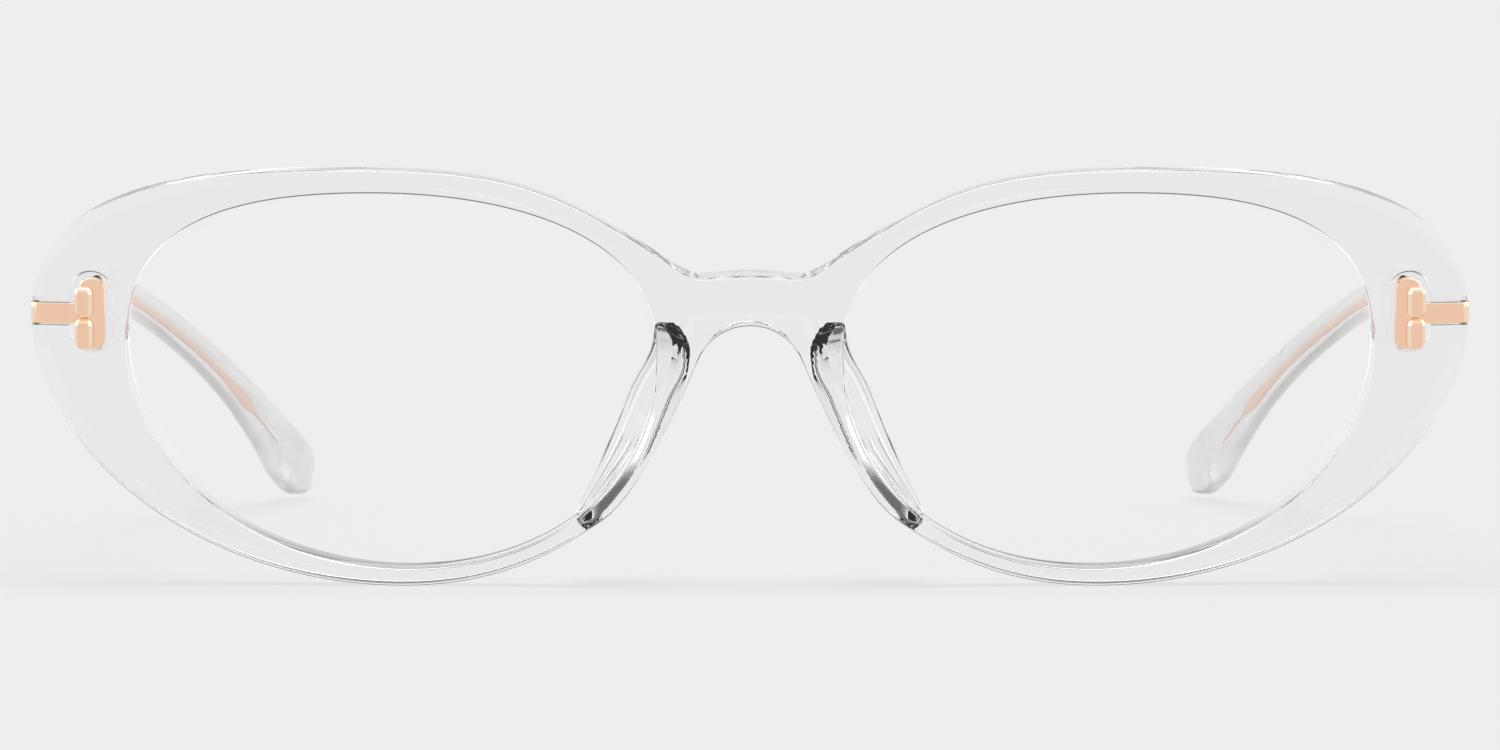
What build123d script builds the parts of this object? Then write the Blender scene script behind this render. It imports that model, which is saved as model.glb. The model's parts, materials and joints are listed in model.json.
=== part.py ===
from build123d import *
import os
from math import atan2, cos, radians, sin, sqrt

# Oval eyeglasses in clear acetate with rose gold corner trims.
# Lengths are in millimetres and angles in degrees. The glasses stand open on a flat surface: +X is to
# the right as seen from in front, the front faces -Y, the temples run to +Y and +Z is up.

# Front, measured in its own upright frame: x from the middle of the bridge, z from the line through
# the middle of the lenses, y back from the foremost point of the bridge
lens_width = 51.9
lens_height = 36.9
bridge_gap = 18.1
end_width = 9.35
rim_above = 2.3
rim_below = 1.7
front_thickness = 4.0
wrap_radius = 400.0
tilt_angle = 6.0
edge_round = 0.7
opening_round = 0.4
overrun = 10.0
offset_steps = 12
opening_reach = bridge_gap / 2 + lens_width
half_width = opening_reach + end_width
rim_top = lens_height / 2 + rim_above
rim_bottom = lens_height / 2 + rim_below

# Bridge
bridge_top = 10.5
bridge_underside = 5.7
bridge_bulge = 2.0
bridge_bulge_half_width = 8.2

# Lenses, seated in a groove round each opening
lens_front_radius = 130.0
lens_thickness = 2.0
groove_reach = 0.6
groove_width = 1.0
groove_clearance = 0.04

# Nose pads, bonded to the back of the front
pad_top = 3.4
pad_height = 18.0
pad_depth = 8.2
pad_thickness = 2.2
pad_overlap = 1.0

# Corner trims, let into the front face and the end of each rim
trim_middle = 6.65
trim_margin = 2.03
plate_inner = opening_reach + trim_margin
plate_width = 2.58
plate_height = 7.3
plate_depth = 0.75
plate_proud = 0.15
bead_width = 1.84
bead_length = 3.0
bead_gap = 0.12
bead_rise = 0.75
bead_facets = 8
bead_overlap_share = 0.3
bead_chamfer_share = 0.25
plate_round_share = 0.45
pocket_round_share = 0.49
bar_height = 2.05
bar_depth = 0.7
bar_proud = 0.1
pocket_gap_inner = 0.75
pocket_gap_outer = 0.9
pocket_gap_above = 0.55
pocket_gap_below = 0.2
slot_clearance = 0.2
seat_clearance = 0.03

# Hinges, one behind each corner trim, turning about a vertical axis
hinge_setback = 2.22
hinge_reach = plate_inner + hinge_setback
hinge_standoff = 2.35
knuckle_radius = 1.25
knuckle_height = 1.2
knuckle_gap = 0.05
knuckle_count = 5
leaf_thickness = 0.8
leaf_sink = 0.4
front_leaf_inset = 0.14
front_leaf_width = 2.96
front_leaf_height = 7.0
front_leaf_round = 0.8
front_web_half_width = 0.7
temple_leaf_length = 8.5
temple_leaf_height = 3.7
temple_leaf_round = 0.92
temple_leaf_start = 1.0
temple_leaf_offset = 1.05
screw_radius = 0.7
screw_clearance = 0.04
screw_head_radius = 1.1
screw_head_height = 0.6
screw_head_round = 0.2
screw_slot_width = 0.35
screw_slot_depth = 0.3
rivet_radius = 0.4
rivet_head_radius = 0.58
rivet_head_height = 0.25
rivet_spacing = 4.7
rivet_inset = 0.92

# Temples
temple_depth = 134.0
temple_lead = 3.4
temple_inset = 15.5
temple_drop = 25.3
butt_gap = 0.15
inner_face_offset = 1.45
hinge_height = 5.2
hinge_thickness = 3.4
shaft_height = 3.6
shaft_thickness = 2.8
tip_height = 6.6
tip_thickness = 4.4
corner_share = 0.42

# Metal core inside each temple
core_height = 2.0
core_thickness = 1.0
core_clearance = 0.03

# The opening: where the curve is level or upright, as shares of the lens width and height, and how far
# each Bezier handle reaches towards the next of these points
nasal_height_share = 0.096
top_side_share = 0.518
temple_side_height_share = 0.095
bottom_side_share = 0.479
opening_handle_shares = (0.68, 0.55, 0.50, 0.85, 0.57, 0.54, 0.57, 0.63)

# The outer edge of the rim, as shares of the half width across and of the rim's top or bottom
brow_shares = (0.145, 0.642)
brow_angle = 32.0
brow_handle_shares = (0.031, 0.140)
crown_share = 0.519
crown_handle_shares = (0.51, 0.56)
corner_height_share = 0.286
corner_handle_shares = (0.84, 0.51)
foot_share = 0.492
foot_handle_shares = (0.55, 0.50)
cheek_shares = (0.204, -0.668)
cheek_angle = -35.0
cheek_handle_shares = (0.060, 0.080)
arch_side_shares = (0.071, 0.119)
arch_side_angle = -69.0
arch_handle_shares = (0.037, 0.024, 0.072)
saddle_end_share = 0.071
saddle_dip_share = 0.98
saddle_handle_shares = (0.024, 0.022, 0.018)

# The nose pad, from its top to its foot: share of the height, then the nose side of its front edge and
# the outer side of its back edge as shares of half the bridge gap, then depth and thickness shares
pad_shares = (
    (0.00, 0.555, 0.985, 0.60, 0.72),
    (0.11, 0.592, 1.060, 0.84, 0.90),
    (0.30, 0.735, 1.250, 1.00, 1.00),
    (0.52, 0.978, 1.425, 0.97, 1.00),
    (0.75, 1.300, 1.615, 0.76, 0.95),
    (0.91, 1.550, 1.800, 0.50, 0.78),
    (1.00, 1.690, 1.900, 0.32, 0.50),
)

# The temple, from the hinge to the tip: shares of depth, inset and drop, then the size of the section,
# then the size of the core's section as shares of its height and thickness, or None past its ends
temple_stations = (
    (0.000, 0.000, 0.000, hinge_height, hinge_thickness, None),
    (0.070, 0.000, 0.007, hinge_height, hinge_thickness, (1.0, 1.0, 0.88)),
    (0.115, 0.000, 0.014, hinge_height, hinge_thickness, (1.0, 1.0, 0.80)),
    (0.200, 0.004, 0.024, 0.86 * hinge_height, 0.92 * hinge_thickness, (1.0, 1.0, 0.3)),
    (0.350, 0.018, 0.046, shaft_height, shaft_thickness, (1.0, 1.0, 0.0)),
    (0.550, 0.062, 0.084, shaft_height, shaft_thickness, (1.0, 1.0, 0.0)),
    (0.640, 0.190, 0.185, shaft_height, shaft_thickness, (1.0, 1.0, 0.0)),
    (0.730, 0.400, 0.345, 1.03 * shaft_height, 1.05 * shaft_thickness, (1.0, 1.0, 0.0)),
    (0.830, 0.635, 0.565, 1.22 * shaft_height, 1.18 * shaft_thickness, (1.25, 1.0, 0.0)),
    (0.900, 0.795, 0.745, 0.84 * tip_height, 0.88 * tip_thickness, (0.55, 0.8, 0.0)),
    (0.950, 0.902, 0.880, 1.00 * tip_height, 1.00 * tip_thickness, None),
    (0.985, 0.970, 0.965, 0.80 * tip_height, 0.82 * tip_thickness, None),
    (1.000, 1.000, 1.000, 0.42 * tip_height, 0.45 * tip_thickness, None),
)


def flat(x, z):
    """A point of the upright front at depth zero."""
    return Vector(x, 0, z)


def aim(x, z, angle, reach):
    """The point at a distance and an angle from another, in the plane of the front."""
    return flat(x + reach * cos(radians(angle)), z + reach * sin(radians(angle)))


def parallel(edges, distance):
    """Points along a clockwise run of curves in the plane of the front, moved outwards by a distance."""
    points = []
    for edge in edges:
        for step in range(offset_steps):
            tangent = edge % (step / offset_steps)
            points.append(edge @ (step / offset_steps) + Vector(-tangent.Z, 0, tangent.X) * distance)
    return points


def opening_face(growth=0):
    """The see-through opening on the +X side, or a larger or smaller one parallel to it."""
    inner, outer = bridge_gap / 2, bridge_gap / 2 + lens_width
    top, bottom = lens_height / 2, -lens_height / 2
    nasal = (inner, nasal_height_share * lens_height)
    crown = (inner + top_side_share * lens_width, top)
    corner = (outer, temple_side_height_share * lens_height)
    foot = (inner + bottom_side_share * lens_width, bottom)
    a, b, c, d, e, f, g, h = opening_handle_shares

    def between(start, end, share):
        return start + share * (end - start)

    edges = [
        Bezier(flat(*nasal), flat(inner, between(nasal[1], top, a)),
               flat(between(crown[0], inner, b), top), flat(*crown)),
        Bezier(flat(*crown), flat(between(crown[0], outer, c), top),
               flat(outer, between(corner[1], top, d)), flat(*corner)),
        Bezier(flat(*corner), flat(outer, between(corner[1], bottom, e)),
               flat(between(foot[0], outer, f), bottom), flat(*foot)),
        Bezier(flat(*foot), flat(between(foot[0], inner, g), bottom),
               flat(inner, between(nasal[1], bottom, h)), flat(*nasal)),
    ]
    if growth != 0:
        edges = Spline(*parallel(edges, growth), periodic=True)
    return make_face(edges)


def outline_face(growth=0):
    """The outer edge of the whole front without the lens openings, or a line parallel to it."""
    width = half_width
    saddle = (saddle_end_share * width, saddle_dip_share * bridge_top)
    brow = (brow_shares[0] * width, brow_shares[1] * rim_top)
    crown = (crown_share * width, rim_top)
    corner = (width, corner_height_share * rim_top)
    foot = (foot_share * width, -rim_bottom)
    cheek = (cheek_shares[0] * width, cheek_shares[1] * rim_bottom)
    side = (arch_side_shares[0] * width, arch_side_shares[1] * rim_bottom)
    flat_reach, dip_reach, rise_reach = [share * width for share in saddle_handle_shares]
    arch_reach, drop_reach, fall_reach = [share * width for share in arch_handle_shares]
    half = [
        Bezier(flat(0, bridge_top), flat(flat_reach, bridge_top),
               flat(saddle[0] - dip_reach, saddle[1]), flat(*saddle)),
        Bezier(flat(*saddle), flat(saddle[0] + rise_reach, saddle[1]),
               aim(*brow, brow_angle, -brow_handle_shares[0] * width), flat(*brow)),
        Bezier(flat(*brow), aim(*brow, brow_angle, brow_handle_shares[1] * width),
               flat(crown[0] - crown_handle_shares[0] * (crown[0] - brow[0]), rim_top), flat(*crown)),
        Bezier(flat(*crown), flat(crown[0] + crown_handle_shares[1] * (width - crown[0]), rim_top),
               flat(width, corner[1] + corner_handle_shares[0] * (rim_top - corner[1])), flat(*corner)),
        Bezier(flat(*corner), flat(width, corner[1] - corner_handle_shares[1] * (corner[1] + rim_bottom)),
               flat(foot[0] + foot_handle_shares[0] * (width - foot[0]), -rim_bottom), flat(*foot)),
        Bezier(flat(*foot), flat(foot[0] - foot_handle_shares[1] * (foot[0] - cheek[0]), -rim_bottom),
               aim(*cheek, cheek_angle, cheek_handle_shares[1] * width), flat(*cheek)),
        Bezier(flat(*cheek), aim(*cheek, cheek_angle, -cheek_handle_shares[0] * width),
               aim(*side, arch_side_angle, fall_reach), flat(*side)),
        Bezier(flat(*side), aim(*side, arch_side_angle, -drop_reach),
               flat(arch_reach, bridge_underside), flat(0, bridge_underside)),
    ]
    if growth == 0:
        other_half = [mirror(edge, about=Plane.YZ) for edge in half]
        return make_face([edge for curve in half + other_half for edge in curve.edges()])
    points = parallel(half, growth) + [flat(0, bridge_underside - growth)]
    other_points = [flat(-point.X, point.Z) for point in reversed(points[1:-1])]
    return make_face(Spline(*points, *other_points, periodic=True))


def through(face):
    """An outline drawn at depth zero, carried through the full depth of the front."""
    depth = 2 * overrun + front_thickness + back_depth(half_width)
    return extrude(Pos(0, -overrun, 0) * face, amount=depth, dir=(0, 1, 0))


def shell_depth(x, depth):
    """How far back the surface lies at x that is this depth below the front's face."""
    return wrap_radius - sqrt((wrap_radius - depth) ** 2 - x ** 2)


def back_depth(x):
    return shell_depth(x, front_thickness)


def inside(depth):
    """All that lies further back than a depth below the front's curved face."""
    height = 4 * (rim_top + rim_bottom)
    return Pos(0, wrap_radius, 0) * Cylinder(wrap_radius - depth, height)


def shell(start, end):
    """The curved layer of the front between two depths."""
    return inside(start) - inside(end)


def block(x, y, z):
    """A box given by its limits along each axis."""
    middle = [(low + high) / 2 for low, high in (x, y, z)]
    return Pos(*middle) * Box(*[high - low for low, high in (x, y, z)])


def across_edges(solid):
    """The edges that run round an outline, without those that go straight back through it."""
    return solid.edges().filter_by(lambda edge: abs((edge % 0.5).Y) < 0.9)


def pill(inner, width, bottom, height, corner_round):
    """An upright outline with rounded ends in the plane of the front."""
    sketch = RectangleRounded(width, height, corner_round)
    return Plane(flat(inner + width / 2, bottom + height / 2), x_dir=(1, 0, 0), z_dir=(0, -1, 0)) * sketch


def lens_centre():
    return bridge_gap / 2 + lens_width / 2


def lens():
    """A meniscus lens with a tongue round its edge that fills the groove."""
    middle = lens_centre()
    turn = atan2(middle, sqrt(wrap_radius ** 2 - middle ** 2))
    seat = front_thickness / 2
    edge_sag = lens_front_radius - sqrt(lens_front_radius ** 2 - (lens_width / 2) ** 2)
    wrap_sag = wrap_radius - sqrt(wrap_radius ** 2 - (lens_width / 2) ** 2)
    vertex = seat - lens_thickness / 2 - (edge_sag - wrap_sag)
    centre_distance = wrap_radius - vertex - lens_front_radius
    centre = (centre_distance * sin(turn), wrap_radius - centre_distance * cos(turn), 0)
    meniscus = Pos(*centre) * (Sphere(lens_front_radius) - Sphere(lens_front_radius - lens_thickness))
    front_side = block((0, half_width), (-overrun, lens_front_radius / 2), (-rim_bottom, rim_top))
    blank = through(opening_face(groove_reach - groove_clearance)) & (meniscus & front_side)
    half_tongue = groove_width / 2 - groove_clearance
    rim = through(opening_face(groove_reach + groove_width)) - through(opening_face(-groove_clearance))
    blank -= rim & shell(-overrun, seat - half_tongue)
    return blank - (rim & inside(seat + half_tongue))


def groove():
    """The material that is cut away for one lens's tongue."""
    seat = front_thickness / 2
    wide = through(opening_face(groove_reach))
    return wide & shell(seat - groove_width / 2, seat + groove_width / 2)


def trim_limits():
    """Lowest and highest z of the trim's plate and of its bar."""
    return (trim_middle - plate_height / 2, trim_middle + plate_height / 2,
            trim_middle - bar_height / 2, trim_middle + bar_height / 2)


def corner_trim():
    """A plate with two faceted beads, and a bar that runs out and wraps round the end of the rim."""
    low, high, bar_low, bar_high = trim_limits()
    plate = through(pill(plate_inner, plate_width, low, plate_height, plate_round_share * plate_width))
    plate &= shell(-plate_proud, plate_depth)
    bead_x = plate_inner + plate_width - bead_overlap_share * bead_width
    reach = half_width + overrun
    bar = through(outline_face(bar_proud)) & shell(-bar_proud, bar_depth)
    bar &= block((bead_x, reach), (-overrun, reach), (bar_low, bar_high))
    wrap = through(outline_face(bar_proud)) - through(outline_face(-bar_depth))
    wrap &= shell(-bar_proud, front_thickness - edge_round)
    wrap &= block((bead_x, reach), (-overrun, reach), (bar_low, bar_high))
    trim = plate + bar + wrap
    for side in (-1, 1):
        middle = trim_middle + side * (bead_length + bead_gap) / 2
        profile = RegularPolygon(bead_width / 2, bead_facets, rotation=180 / bead_facets, major_radius=False)
        bead = extrude(profile, bead_length)
        bead = chamfer(bead.faces().filter_by(Axis.Z).edges(), bead_chamfer_share * bead_width)
        depth = shell_depth(bead_x, 0) + bead_width / 2 - bead_rise
        trim += Pos(bead_x, depth, middle - bead_length / 2) * bead - inside(plate_depth)
    return trim


def trim_seat():
    """The pocket, slot and notch in the front that the trim sits in."""
    low, high, bar_low, bar_high = trim_limits()
    left = plate_inner - pocket_gap_inner
    width = pocket_gap_inner + plate_width + pocket_gap_outer
    height = plate_height + pocket_gap_above + pocket_gap_below
    pocket = through(pill(left, width, low - pocket_gap_below, height, pocket_round_share * width))
    pocket &= shell(-overrun, plate_depth + seat_clearance)
    reach = half_width + overrun
    slot_z = (bar_low - slot_clearance, bar_high + slot_clearance)
    slot = block((plate_inner + plate_width, reach), (-overrun, reach), slot_z)
    slot &= shell(-overrun, bar_depth + seat_clearance)
    notch = block((plate_inner, reach), (-overrun, reach), slot_z)
    notch &= shell(-overrun, front_thickness - edge_round + seat_clearance)
    notch -= through(outline_face(-bar_depth - seat_clearance))
    return pocket + slot + notch


def rivet_places():
    """Where the two rivets of one corner pass through the front."""
    x = plate_inner + rivet_inset
    return [(x, trim_middle - rivet_spacing / 2), (x, trim_middle + rivet_spacing / 2)]


def rivet(x, z):
    """One rivet from the back of the trim's plate to its peened head on the hinge leaf."""
    leaf_back = front_thickness + leaf_thickness - leaf_sink
    end = shell_depth(x, leaf_back) + rivet_head_height
    turn = Rot(90, 0, 0)
    shank = Pos(x, end / 2, z) * turn * Cylinder(rivet_radius, end) & inside(plate_depth)
    head = Pos(x, end - rivet_head_radius / 2, z) * turn * Cylinder(rivet_head_radius, rivet_head_radius)
    return shank + (head & inside(leaf_back))


def rivet_hole(x, z):
    """The clear hole for one rivet, through the front and its hinge leaf."""
    return Pos(x, 0, z) * Rot(90, 0, 0) * Cylinder(rivet_radius + seat_clearance, 2 * half_width)


def bridge_bulge_column():
    """The upright column whose back face thickens the bridge."""
    radius = (bridge_bulge_half_width ** 2 + bridge_bulge ** 2) / (2 * bridge_bulge)
    return Pos(0, front_thickness + bridge_bulge - radius, 0) * Cylinder(radius, 4 * rim_top)


def front_blank():
    """The thermoformed acetate front before its trims are let in: rim, openings, grooves and bridge."""
    blank = through(outline_face()) & shell(0, front_thickness)
    blank = fillet(across_edges(blank), edge_round)
    blank += through(outline_face()) & (bridge_bulge_column() & inside(front_thickness / 2))
    for side in (1, -1):
        opening = through(opening_face())
        opening = opening if side > 0 else mirror(opening, about=Plane.YZ)
        blank -= opening
    rim = opening_face().face().outer_wire()
    edges = [edge for edge in across_edges(blank) if lies_on(edge, rim)]
    blank = fillet(edges, opening_round)
    for side in (1, -1):
        blank -= groove() if side > 0 else mirror(groove(), about=Plane.YZ)
    return blank


def lies_on(edge, rim):
    """Whether an edge of either half, seen from in front, runs along the rim of its opening."""
    point = edge @ 0.5
    return rim.distance_to(flat(abs(point.X), point.Z)) < groove_clearance


def leaf_plate(clearance):
    """The front hinge leaf's plate, sunk part way into the back of the front."""
    inner = plate_inner + front_leaf_inset - clearance
    low = trim_middle - front_leaf_height / 2 - clearance
    width, height = front_leaf_width + 2 * clearance, front_leaf_height + 2 * clearance
    face = pill(inner, width, low, height, front_leaf_round)
    return through(face) & shell(front_thickness - leaf_sink, front_thickness + leaf_thickness - leaf_sink)


def seated(part):
    """A piece of the upright front, tilted and raised to where it stands."""
    return Pos(0, 0, front_rise) * Rot(tilt_angle, 0, 0) * part


def knuckle_band(index):
    """Lowest and highest z of one knuckle, counted from the bottom."""
    pitch = knuckle_height + knuckle_gap
    start = hinge_axis.Z - (knuckle_count * pitch - knuckle_gap) / 2
    return start + index * pitch, start + index * pitch + knuckle_height


def upright(radius, low, high):
    """A cylinder round the hinge axis."""
    return Pos(hinge_axis.X, hinge_axis.Y, (low + high) / 2) * Cylinder(radius, high - low)


def knuckles(first, x_reach, y_reach):
    """Every second knuckle with the web that joins it to its leaf, without the screw hole."""
    parts = []
    for index in range(first, knuckle_count, 2):
        low, high = knuckle_band(index)
        web_x = (hinge_axis.X + x_reach[0], hinge_axis.X + x_reach[1])
        web_y = (hinge_axis.Y + y_reach[0], hinge_axis.Y + y_reach[1])
        parts.append(upright(knuckle_radius, low, high) + block(web_x, web_y, (low, high)))
    return parts


def screw_hole():
    low, high = knuckle_band(0)[0], knuckle_band(knuckle_count - 1)[1]
    return upright(screw_radius + screw_clearance, low - overrun, high + overrun)


def front_leaf():
    """The hinge leaf on the front: a plate with three knuckles."""
    plate = leaf_plate(0)
    for x, z in rivet_places():
        plate -= rivet_hole(x, z)
    leaf = seated(plate)
    reach = -hinge_standoff - leaf_thickness / 2
    webs = knuckles(0, (-front_web_half_width, front_web_half_width), (reach, 0))
    behind = seated(inside(front_thickness))
    for knuckle in webs:
        leaf += knuckle & behind
    return leaf - screw_hole()


def temple_leaf():
    """The hinge leaf on the temple: a plate in the temple's inner face with two knuckles."""
    start, end = hinge_axis.Y + temple_leaf_start, hinge_axis.Y + temple_leaf_start + temple_leaf_length
    inner = hinge_axis.X + temple_leaf_offset
    half = temple_leaf_height / 2
    leaf = block((inner, inner + leaf_thickness), (start, end), (hinge_axis.Z - half, hinge_axis.Z + half))
    ends = leaf.edges().filter_by(Axis.X).group_by(Axis.Y)[-1]
    leaf = fillet(ends, temple_leaf_round)
    for knuckle in knuckles(1, (0, temple_leaf_offset + leaf_thickness), (0, knuckle_radius)):
        leaf += knuckle
    return leaf - screw_hole()


def hinge_screw():
    """The slotted screw that is the hinge's pin."""
    low, high = knuckle_band(0)[0], knuckle_band(knuckle_count - 1)[1]
    screw = upright(screw_radius, low, high) + upright(screw_head_radius, high, high + screw_head_height)
    rim = screw.edges().filter_by(GeomType.CIRCLE).group_by(Axis.Z)[-1]
    screw = fillet(rim, screw_head_round)
    slot_x = (hinge_axis.X - screw_head_radius, hinge_axis.X + screw_head_radius)
    slot_y = (hinge_axis.Y - screw_slot_width / 2, hinge_axis.Y + screw_slot_width / 2)
    top = high + screw_head_height
    return screw - block(slot_x, slot_y, (top - screw_slot_depth, top + overrun))


def station_plane(index, sideways):
    """The plane of one section of the temple, square to its path, shifted towards the hinge."""
    here = station_point(index)
    before = station_point(max(index - 1, 0))
    after = station_point(min(index + 1, len(temple_stations) - 1))
    along = (after - before).normalized()
    level = Vector(along.Y, -along.X, 0).normalized()
    return Plane(here - level * sideways, x_dir=level, z_dir=along)


def station_point(index):
    depth, inset, drop = temple_stations[index][:3]
    start_x = hinge_axis.X + inner_face_offset + hinge_thickness / 2
    return Vector(start_x - inset * temple_inset, hinge_axis.Y - temple_lead + depth * temple_depth,
                  hinge_axis.Z - drop * temple_drop)


def temple_blank():
    """The temple's outside, from just ahead of the hinge to its drop-shaped tip."""
    sections = []
    for index, (_, _, _, height, thickness, _) in enumerate(temple_stations):
        section = RectangleRounded(thickness, height, corner_share * thickness)
        sections.append(station_plane(index, 0) * section)
    return loft(sections)


def core_solid(clearance):
    """The flat metal core, from the hinge leaf to its pointed end in the temple's tip."""
    shift = hinge_thickness / 2 + inner_face_offset - temple_leaf_offset - leaf_thickness - core_thickness / 2
    sections = []
    for index, station in enumerate(temple_stations):
        if station[5] is None:
            continue
        height_share, thickness_share, shift_share = station[5]
        section = Rectangle(core_thickness * thickness_share + 2 * clearance,
                            core_height * height_share + 2 * clearance)
        sections.append(station_plane(index, shift * shift_share) * section)
    return loft(sections)


def leaf_recess():
    """The recess in the temple's inner face for its hinge leaf."""
    inner = hinge_axis.X + temple_leaf_offset
    x = (inner - leaf_thickness, inner + leaf_thickness + seat_clearance)
    end = hinge_axis.Y + temple_leaf_start + temple_leaf_length + seat_clearance
    half = temple_leaf_height / 2 + seat_clearance
    return block(x, (hinge_axis.Y - overrun, end), (hinge_axis.Z - half, hinge_axis.Z + half))


def temple():
    """The clear acetate arm, butted against the back of the front."""
    arm = temple_blank() & seated(inside(front_thickness + butt_gap))
    return arm - leaf_recess() - core_solid(core_clearance)


def nose_pad():
    """A pad whose splayed wall runs back from the nose side of the rim."""
    half_gap = bridge_gap / 2
    sections = []
    for drop, nose_share, back_share, depth_share, thickness_share in pad_shares:
        thickness = pad_thickness * thickness_share
        front_x = nose_share * half_gap + thickness / 2
        back_x = back_share * half_gap - thickness / 4
        front_y = back_depth(front_x) - pad_overlap
        back_y = back_depth(front_x) + depth_share * pad_depth
        run = Vector(back_x - front_x, back_y - front_y, 0)
        middle = Vector((front_x + back_x) / 2, (front_y + back_y) / 2, pad_top - drop * pad_height)
        plane = Plane(middle, x_dir=run.normalized(), z_dir=(0, 0, 1))
        sections.append(plane * SlotOverall(run.length + thickness / 2, thickness))
    return (loft(sections) & inside(front_thickness)) - bridge_bulge_column()


def front_frame():
    """The front with the seats for its trims, rivets and hinge leaves."""
    frame = front_blank()
    cuts = trim_seat() + leaf_plate(seat_clearance)
    for x, z in rivet_places():
        cuts += rivet_hole(x, z)
    return frame - cuts - mirror(cuts, about=Plane.YZ)


def upright_place(x, y, z):
    """Where a point of the upright front comes to lie once the front stands in its place."""
    return (Pos(0, 0, front_rise) * Rot(tilt_angle, 0, 0) * Pos(x, y, z)).position


def pieces():
    """Every piece on the +X side and in the middle, by name."""
    rivets = [seated(rivet(x, z)) for x, z in rivet_places()]
    return {
        "lens": seated(lens()),
        "nose_pad": seated(nose_pad()),
        "corner_trim": seated(corner_trim()),
        "trim_rivets": Compound(rivets),
        "hinge_front_leaf": front_leaf(),
        "hinge_temple_leaf": temple_leaf(),
        "hinge_screw": hinge_screw(),
        "temple": temple(),
        "temple_core": core_solid(0),
    }


def write(name, piece):
    """Save the solids of one piece under its name."""
    solids = piece.solids()
    export_step(solids[0] if len(solids) == 1 else Compound(solids), "parts/" + name + ".step")


# The foot of each rim touches the surface that the glasses stand on
front = front_frame()
front_rise = -(Rot(tilt_angle, 0, 0) * front).bounding_box().min.Z

# The hinge axis stands behind the trim's middle, clear of the end of the rim
hinge_axis = upright_place(hinge_reach, back_depth(hinge_reach), trim_middle) + Vector(0, hinge_standoff, 0)

# The origin lies on the surface below the middle of the whole part
named = pieces()
depth_limits = [seated(front).bounding_box(), named["temple"].bounding_box()]
middle = -(min(box.min.Y for box in depth_limits) + max(box.max.Y for box in depth_limits)) / 2
drop = -min(box.min.Z for box in depth_limits)
centred = Pos(0, middle, drop)

os.makedirs("parts", exist_ok=True)
write("front_frame", centred * seated(front))
for name, piece in named.items():
    write(name + "_left", centred * piece)
    write(name + "_right", mirror(centred * piece, about=Plane.YZ))

print("hinge axis", hinge_axis + Vector(0, middle, drop), "rise", front_rise + drop)
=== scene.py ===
"""Oval eyeglasses in clear acetate with rose gold corner trims, on a pale table."""

import json
from math import ceil, cos, hypot, pi, radians, sin, sqrt

import bmesh
import bpy
import numpy as np
from bpy.props import FloatProperty, FloatVectorProperty, IntProperty, PointerProperty
from mathutils import Matrix, Vector


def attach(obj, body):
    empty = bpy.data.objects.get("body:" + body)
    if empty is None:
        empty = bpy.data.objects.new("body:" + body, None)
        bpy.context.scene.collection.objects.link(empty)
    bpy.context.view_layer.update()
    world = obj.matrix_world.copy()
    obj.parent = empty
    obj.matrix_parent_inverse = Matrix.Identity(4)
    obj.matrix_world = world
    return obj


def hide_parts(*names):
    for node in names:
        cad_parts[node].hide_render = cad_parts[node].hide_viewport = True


bl_info = {
    "name": "Oval eyeglasses",
    "version": (1, 0, 0),
    "blender": (4, 5, 0),
    "location": "View3D > Sidebar > Glasses",
    "description": "Makes clear oval eyeglasses with metal corner trims around their packed frame",
    "category": "Object",
}

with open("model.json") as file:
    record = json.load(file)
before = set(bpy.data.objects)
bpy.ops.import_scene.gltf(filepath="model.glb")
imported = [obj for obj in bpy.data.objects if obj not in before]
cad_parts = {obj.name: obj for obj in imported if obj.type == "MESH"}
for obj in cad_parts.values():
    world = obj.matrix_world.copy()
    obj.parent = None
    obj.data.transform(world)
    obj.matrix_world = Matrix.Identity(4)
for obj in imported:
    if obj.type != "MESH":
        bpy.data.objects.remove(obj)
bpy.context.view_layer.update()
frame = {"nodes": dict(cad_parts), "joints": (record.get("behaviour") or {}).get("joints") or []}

SIDES = {"left": 1, "right": -1}
MM = 0.001

# The clear front in its own upright plane: x from the middle of the bridge, z from the line through the
# middle of the lenses, depth back from the face. Lengths in metres.
LENS_WIDTH = 51.9 * MM
LENS_HEIGHT = 36.9 * MM
BRIDGE_GAP = 18.1 * MM
HALF_WIDTH = 70.3 * MM
RIM_TOP = 20.67 * MM
RIM_BOTTOM = 20.095 * MM
THICKNESS = 4.0 * MM
WRAP_RADIUS = 400.0 * MM
TILT = radians(6.0)
BRIDGE_TOP = 10.5 * MM
BRIDGE_UNDERSIDE = 5.7 * MM
BULGE = 2.0 * MM
BULGE_HALF_WIDTH = 8.2 * MM
BULGE_SOFTNESS = 0.25 * MM
LENS_CENTRE = (BRIDGE_GAP + LENS_WIDTH) / 2

# Opening: turning points as shares of the lens, and the reach of each handle
NASAL_HEIGHT_SHARE = 0.096
TOP_SIDE_SHARE = 0.518
CORNER_HEIGHT_SHARE = 0.095
BOTTOM_SIDE_SHARE = 0.479
OPENING_HANDLE_SHARES = (0.68, 0.55, 0.50, 0.85, 0.57, 0.54, 0.57, 0.63)

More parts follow.
